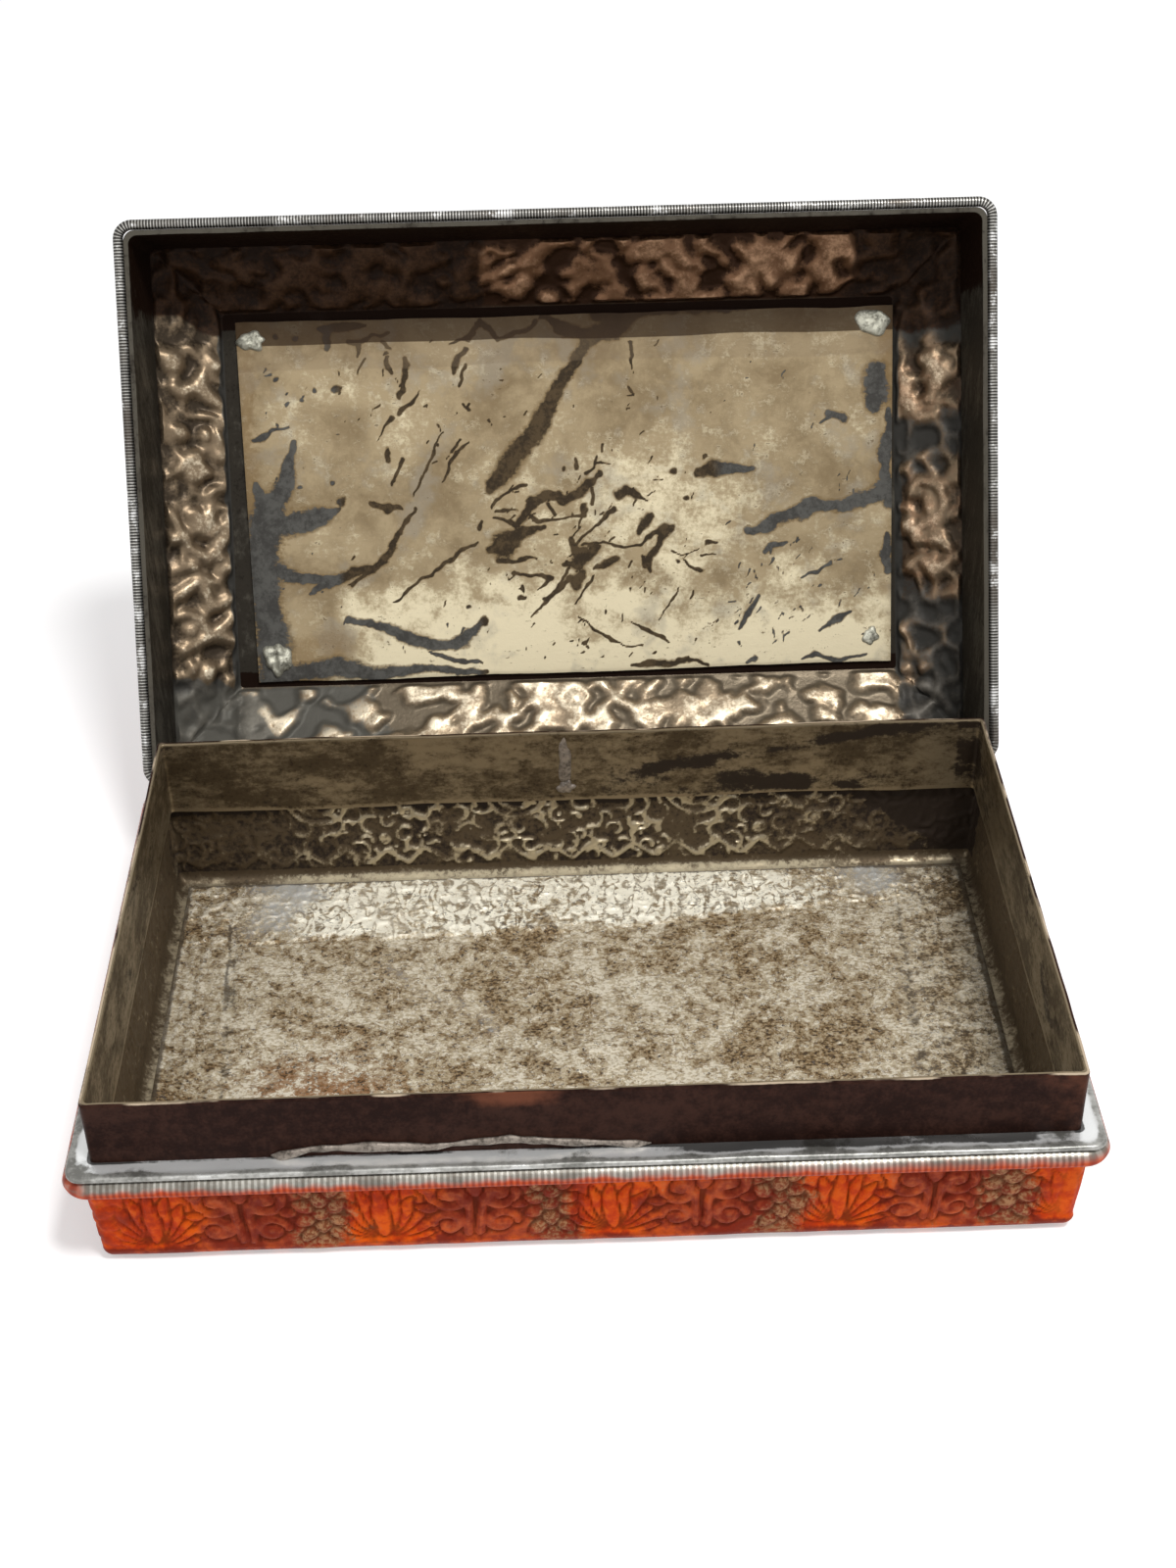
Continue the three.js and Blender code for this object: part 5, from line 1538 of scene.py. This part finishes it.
DOTS = [
    (0, -5.4, 0.5), (26.5, 1.4, 0.5), (24.3, -4.6, 0.6), (30.8, -6.8, 0.4), (-18.9, 26.8, 0.8),
    (24.7, 15.6, 0.4), (-21.4, 23.9, 0.4), (-48.9, -24.2, 0.75), (-53.1, -23.7, 0.5), (-56.4, -21.7, 0.4),
    (-59.6, -21, 0.35), (-61.3, -26.3, 0.5), (-57.1, -35.3, 0.6), (-60.8, -35.8, 0.6), (-50.4, -4.1, 0.5),
    (-48.3, 0.1, 0.9), (-57.9, -3, 0.4),
]
SPRAYS = [(-21, -20, 9, 13, 14), (2, 8, 19, 14, 44), (52, 22, 16, 12, 34), (0, 0, 66, 34, 70),
          (-52, -24, 14, 8, 14), (10, 31, 40, 6, 24)]
STREAKS += [[(x, y, half), (x + 0.2, y, half)] for x, y, half in DOTS]
rng = np.random.default_rng(29)
for x, y, wide, tall, count in SPRAYS:
    for _ in range(count):
        a, b = x + rng.uniform(-wide, wide), y + rng.uniform(-tall, tall)
        angle, long, half = math.radians(rng.normal(118, 26)), rng.uniform(0.4, 2.2), rng.uniform(0.1, 0.26)
        STREAKS.append([(a, b, half), (a + long * math.cos(angle), b + long * math.sin(angle), half * 0.5)])
print("streaks on the plate:", len(STREAKS))

# %% The plate's sheet
PLATE_LONG, PLATE_TALL = 141, 77
FRONT_LEFT, FRONT_RIGHT = np.array([-69.6, -38.4]), np.array([72.4, -38.4])
BACK_LEFT, BACK_RIGHT = np.array([-68.2, 39.3]), np.array([71.2, 38.6])
u, v = np.meshgrid(np.linspace(0, 1, 419), np.linspace(0, 1, 229), indexing="ij")
edge = np.minimum.reduce([u * PLATE_LONG, (1 - u) * PLATE_LONG, v * PLATE_TALL, (1 - v) * PLATE_TALL])
u, v = u[..., None], v[..., None]
flat = (1 - v) * ((1 - u) * FRONT_LEFT + u * FRONT_RIGHT) + v * ((1 - u) * BACK_LEFT + u * BACK_RIGHT)
gx, gy = flat[..., 0], flat[..., 1]
spot = np.stack([gx, gy, np.zeros_like(gx)], -1)
spot[..., 1] += unit(1 - edge / 2) * (0.28 * drift(spot, 11, 121) + 0.12 * drift(spot, 3, 122))
ragged = [0.8 * drift(spot, 5, 123 + k) + 0.5 * drift(spot, 1.7, 133 + k) + 0.25 * drift(spot, 0.8, 143 + k)
          for k in (0, 1)]
stain = path_field(gx + ragged[0], gy + ragged[1], STREAKS)
buckle = 0.22 * drift(spot, 30, 125) + 0.05 * drift(spot, 8, 126)
spot[..., 2] = PLATE_FACE + 0.06 - unit(edge / 0.5) * 0.06 + buckle * 0.6
print("share of the plate that is stained:", round(float((stain > 0.5).mean()), 3))

# %% Plate finish
def plate_finish():
    """Beige silver with cream and dull patches, under frayed flux, with a painted shadow along the front
    edge and painted light towards the back edge and near the middle.
    """
    f = Finish("plate_beige_silver")
    stain, shade, slate, ochre, glow = f.marks("stain", "grime", "slate", "ochre", "bright")
    broad, mid = f.noise(15, 4, 0.6, shift=1.0, warp=0.4), f.noise(4.0, 5, 0.62, shift=3.0, warp=0.3)
    fine, grain = f.noise(0.9, 5, 0.7, shift=7.0), f.noise(0.5, 3, 0.6, (5, 1, 1.4), shift=5.0)
    # glow lays painted light: it lifts the tone and the cream.
    tone = broad * 0.5 + mid * 0.35 + fine * 0.15 - glow * 0.18
    cream = (mid * 0.4 + fine * 0.3 + grain * 0.1 + (1 - broad) * 0.2 + glow * 0.29).rise(0.5, 0.68)
    dull = (f.noise(11, 3, 0.6, shift=21.0) * 0.7 + mid * 0.3).rise(0.52, 0.64)
    haze = (mid * 0.5 + fine * 0.35 + ochre * 0.42 + broad.sway(0.4)).rise(0.5, 0.68)
    specks = (fine * 0.6 + grain * 0.4 + mid.sway(0.3)).rise(0.6, 0.65)
    frayed = stain + fine.sway(0.5) + mid.sway(0.3) + grain.sway(0.3)
    black = frayed.rise(0.42, 0.58)
    cloud = mid * 0.6 + fine * 0.4
    olive = f.blend((44, 35, 24), (74, 60, 41), cloud.rise(0.44, 0.58))
    grey = f.blend((58, 58, 57), (84, 84, 81), cloud.rise(0.42, 0.6))
    flux = f.blend(olive, grey, (slate + mid.sway(0.6)).rise(0.3, 0.7))
    f.colour = f.blend((156, 139, 109), (126, 109, 82), tone.rise(0.4, 0.6))
    f.layer((222, 210, 178), cream * 0.85)
    f.layer((146, 139, 125), dull * 0.45)
    f.layer((118, 92, 56), haze * 0.44)
    f.layer((82, 64, 42), specks * 0.7)
    f.layer((112, 92, 62), frayed.rise(0.24, 0.46) * 0.75)
    f.layer(flux, black * 0.95)
    # Painted shadow of the skirt: a faint band, then a dark strip along the front edge.
    f.layer((112, 96, 76), shade.rise(0.1, 0.25) * 0.3)
    f.layer((48, 33, 20), (shade + mid.sway(0.1)).rise(0.5, 0.7) * 0.82)
    rough = 0.42 + black * 0.16 + haze * 0.1 + fine.sway(0.22)
    tooth = mid * 0.5 + fine * 0.4 + grain * 0.2 + black * 0.25
    return f.close(0.5 - black * 0.4, rough, f.bump(tooth, 0.16, 0.6), gloss=0.12)


print("plate finish is ready")

# %% Plate marks and piece
# Painted shadow of the skirt: a dark strip along the front edge and a fainter band behind it.
shade = 0.7 * ramp(gy - 0.5 * drift(spot, 16, 127), -33.2, -33.7)
shade += 0.3 * ramp(gy - 0.6 * drift(spot, 20, 128), -27.6, -28.8)
slate = np.maximum.reduce([ramp(gx, 30, 38), ramp(gx, -46, -52), ramp(gy, 22, 26) * ramp(gx, -16, -22)])
ochre = bell(gx, -55, 9) * bell(gy, 33, 5) + 0.7 * ramp(gx, -64, -69) + 0.5 * ramp(gx, 67, 71)
uneven = 0.7 * drift(spot, 9, 129) + 0.5 * drift(spot, 3, 130)
# Painted light: glow lightens the plate towards its back edge, lowest in the open lid, and near the middle.
glow = ramp(gy + 8 * uneven, 16, 34) * ramp(gx + 6 * uneven, -50, -38) * (0.85 + 0.3 * uneven)
glow += 0.4 * bell(gx, 18, 22) * bell(gy, 4, 14)
marks = {"stain": stain, "grime": shade, "slate": slate, "ochre": unit(ochre), "bright": unit(glow)}
plate = slab("backing_plate_sheet", spot, PLATE_BACK, plate_finish(), marks, lid=True)
settle(plate, "lid", "plate_silver", "backing_plate")

# %% [markdown]
# ## Solder
# The plate was fixed at its corners with blunt lumps of solder. Another run of solder lies along the
# foot of the collar at the front, and the collar's own joint shows as a vertical seam inside the back.
# A lump is a dome of rings whose outline and height waver. The run is a swept bead of the same metal.

# %% Solder finish and lumps
ROUND = np.linspace(0, math.tau, 44, endpoint=False)
X, Y, Z = np.eye(3)


def solder_finish(name, light, dark):
    """Lumpy grey metal, speckled dark."""
    f = Finish(name)
    mid, fine = f.noise(1.8, 4, 0.6, shift=2.0), f.noise(0.5, 3, 0.6, shift=5.0)
    f.colour = f.blend(light, dark, (mid * 0.8 + fine * 0.4).rise(0.5, 0.78))
    f.layer((58, 54, 48), (fine * 0.7 + mid * 0.4).rise(0.66, 0.76) * 0.8)
    return f.close(0.6, 0.42 + mid * 0.2, f.bump(mid * 0.7 + fine * 0.5, 0.35, 0.8))


def lump(name, finish, centre, plane, size, thick, seed, lid=False):
    """A lump of solder: rings of a dome with a wavering outline. The plane is two directions in its foot
    and one up."""
    across, along, up = plane
    rng = np.random.default_rng(seed)
    wobble = sum(rng.uniform(0.02, 0.11) * np.cos(k * ROUND + rng.uniform(0, 6)) for k in range(2, 7))
    points = []
    for r in np.concatenate([[1.0, 1.0], np.linspace(0.96, 0.06, 12)]):
        flat = np.column_stack([np.cos(ROUND) * size[0] / 2, np.sin(ROUND) * size[1] / 2])
        flat *= (r * (1 + wobble * r))[:, None]
        rough = drift(np.column_stack([flat, np.full(len(flat), seed * 7.0)]), 1.3, seed)
        lift = thick * (math.sqrt(max(0, 1 - r ** 2.6)) * (1 + 0.38 * rough))
        points.append(np.array(centre) + flat[:, :1] * across + flat[:, 1:] * along + lift[:, None] * up)
    points[0] = points[0] - 0.15 * up
    return tube(name, np.stack(points), finish, lid)


BRIGHT_SOLDER = solder_finish("grey_solder", (190, 188, 172), (112, 110, 98))
DULL_SOLDER = solder_finish("dull_solder", (142, 132, 122), (86, 78, 70))
CORNERS = [("front_left", -66.4, -34.6, (6.0, 4.2), 0.9, 3), ("front_right", 68.0, -35.0, (7.4, 5.6), 0.9, 5),
           ("back_left", -63.8, 34.2, (6.0, 7.2), 1.4, 7), ("back_right", 66.8, 33.0, (3.6, 3.8), 0.9, 9)]
for where, x, y, size, thick, seed in CORNERS:
    centre = (x, y, PLATE_FACE + 0.1)
    made = lump("solder_" + where, BRIGHT_SOLDER, centre, (X, Y, -Z), size, thick, seed, lid=True)
    settle(made, "lid", "grey_solder", "plate_solder_" + where)

# %% The collar's seam and the run of solder at the front
SEAM_Y = HALF_Y - COLLAR_SHEET + 0.06
BEAD_LEFT, BEAD_RIGHT, BEAD_RINGS = -54, 11, 150
for name, x, z, size, thick, seed in [("collar_seam", -1.6, 29.4, (2.7, 13.2), 0.36, 11),
                                      ("collar_seam_drop", -1.5, 23.4, (3.6, 3.2), 0.7, 13)]:
    made = lump(name, DULL_SOLDER, (x, SEAM_Y, z), (X, Z, -Y), size, thick, seed)
    settle(made, "tray", "grey_solder", "collar_seam_solder")
bead_x = np.linspace(BEAD_LEFT, BEAD_RIGHT, BEAD_RINGS)
along = bead_x[:, None] * X
swell = np.clip(0.75 + 0.35 * drift(along, 5, 131) + 0.2 * drift(along, 2, 132), 0.3, 1.2)
swell *= np.clip((bead_x - BEAD_LEFT + 0.4) / 2, 0.1, 1) * np.clip((BEAD_RIGHT + 0.4 - bead_x) / 3, 0.1, 1)
climb = np.interp(bead_x, [BEAD_LEFT, -52, -47, -36, -27, -21, -13, -3, 5, BEAD_RIGHT],
                  [0, 0.1, 1.3, 1.5, 0.8, 1.5, 2.2, 1, 0.3, 0])
climb += 0.2 * drift(along, 3, 133)
angle = np.linspace(0, math.tau, 12, endpoint=False)[None, :]
rows = np.empty((BEAD_RINGS, 12, 3))
rows[..., 0] = bead_x[:, None]
rows[..., 1] = -HALF_Y + swell[:, None] * (0.75 * np.cos(angle) - 0.3)
rows[..., 1] = np.minimum(rows[..., 1], -HALF_Y + 0.25)
rows[..., 2] = SHELF_TOP + 0.45 + climb[:, None] + 1.05 * swell[:, None] * np.sin(angle)
settle(tube("shelf_solder_run", rows, DULL_SOLDER), "tray", "grey_solder", "shelf_solder_bead")

# %% [markdown]
# ## Hinge
# Five knuckles on one pin sit in a notch at the back. Their measured solids already have the right shape,
# so they stay and only receive the brown silver finish. Building them again would add nothing to see.

# %% Finish of the hinge
HINGE = [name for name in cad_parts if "knuckle" in name or name.endswith("_pin")]
for name in HINGE:
    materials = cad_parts[name].data.materials
    materials.clear()
    materials.append(hinge_silver)
print("hinge pieces dressed:", len(HINGE))

# %% [markdown]
# ## Floor of the studio and light
# The box stands on a pale floor. A soft lamp above, to the right and in front, gives most of the light,
# a broad weak one fills from the front left, and the white world lights every side. The floor is a plain
# diffuse surface that takes the box's shadow. It gets a little light of its own only for the camera and
# for reflections, so that it looks white without lighting the box from below.

# %% Studio floor and world
def ray(web, *kinds):
    """1 for rays of any of these kinds, and 0 for others."""
    seen = web.node("ShaderNodeLightPath", out="Is %s Ray" % kinds[0])
    for kind in kinds[1:]:
        seen = seen.most(web.node("ShaderNodeLightPath", out="Is %s Ray" % kind))
    return seen


def grey(level):
    return (level, level, level, 1)


f = Finish("studio_floor")
far = f.node("ShaderNodeVectorMath", {"operation": "LENGTH"}, {0: f.place}, out="Value").rise(0.5, 2.4)
lift = f.node("ShaderNodeMix", {"data_type": "RGBA"}, {0: far, 6: grey(0.34), 7: grey(0.64)}, out=2)
glow = f.node("ShaderNodeEmission", {}, {"Color": lift, "Strength": ray(f, "Camera", "Glossy")})
matt = f.node("ShaderNodeBsdfDiffuse", {}, {"Color": grey(0.86)})
f.end(f.node("ShaderNodeAddShader", {}, {0: matt, 1: glow}))
mesh = bpy.data.meshes.new("studio_floor")
mesh.from_pydata([(-6, -6, 0), (6, -6, 0), (6, 6, 0), (-6, 6, 0)], [], [(0, 1, 2, 3)])
mesh.materials.append(f.material)
ground = bpy.data.objects.new("studio_floor", mesh)
bpy.context.scene.collection.objects.link(ground)

world = bpy.data.worlds.new("studio")
bpy.context.scene.world = world
world.use_nodes = True
web = Web(world.node_tree)
strength = ray(web, "Camera", "Glossy", "Transmission") * 0.5 + 0.5
sky = web.node("ShaderNodeBackground", {}, {"Color": grey(1), "Strength": strength})
web.node("ShaderNodeOutputWorld", {}, {"Surface": sky})
print("studio floor and world are set")

# %% Lamps
def lamp(name, place, aim, size, watts):
    """A round area lamp at a place, turned to its aim. Lengths are in metres."""
    light = bpy.data.lights.new(name, "AREA")
    light.shape, light.size, light.energy = "DISK", size, watts
    made = bpy.data.objects.new(name, light)
    back = np.array(place, float) - np.array(aim, float)
    back /= np.linalg.norm(back)
    right = np.cross([0, 0.01, 1], back)
    right /= np.linalg.norm(right)
    pose = np.eye(4)
    pose[:3] = np.column_stack([right, np.cross(back, right), back, place])
    made.matrix_world = Matrix(pose.tolist())
    bpy.context.scene.collection.objects.link(made)


lamp("overhead", (0.3, -0.42, 1.2), (0, 0.02, 0.03), 0.28, 11)
lamp("front_fill", (-0.55, -1.3, 0.8), (0, 0, 0.04), 0.9, 2.5)
bpy.context.scene.view_settings.view_transform = "Standard"
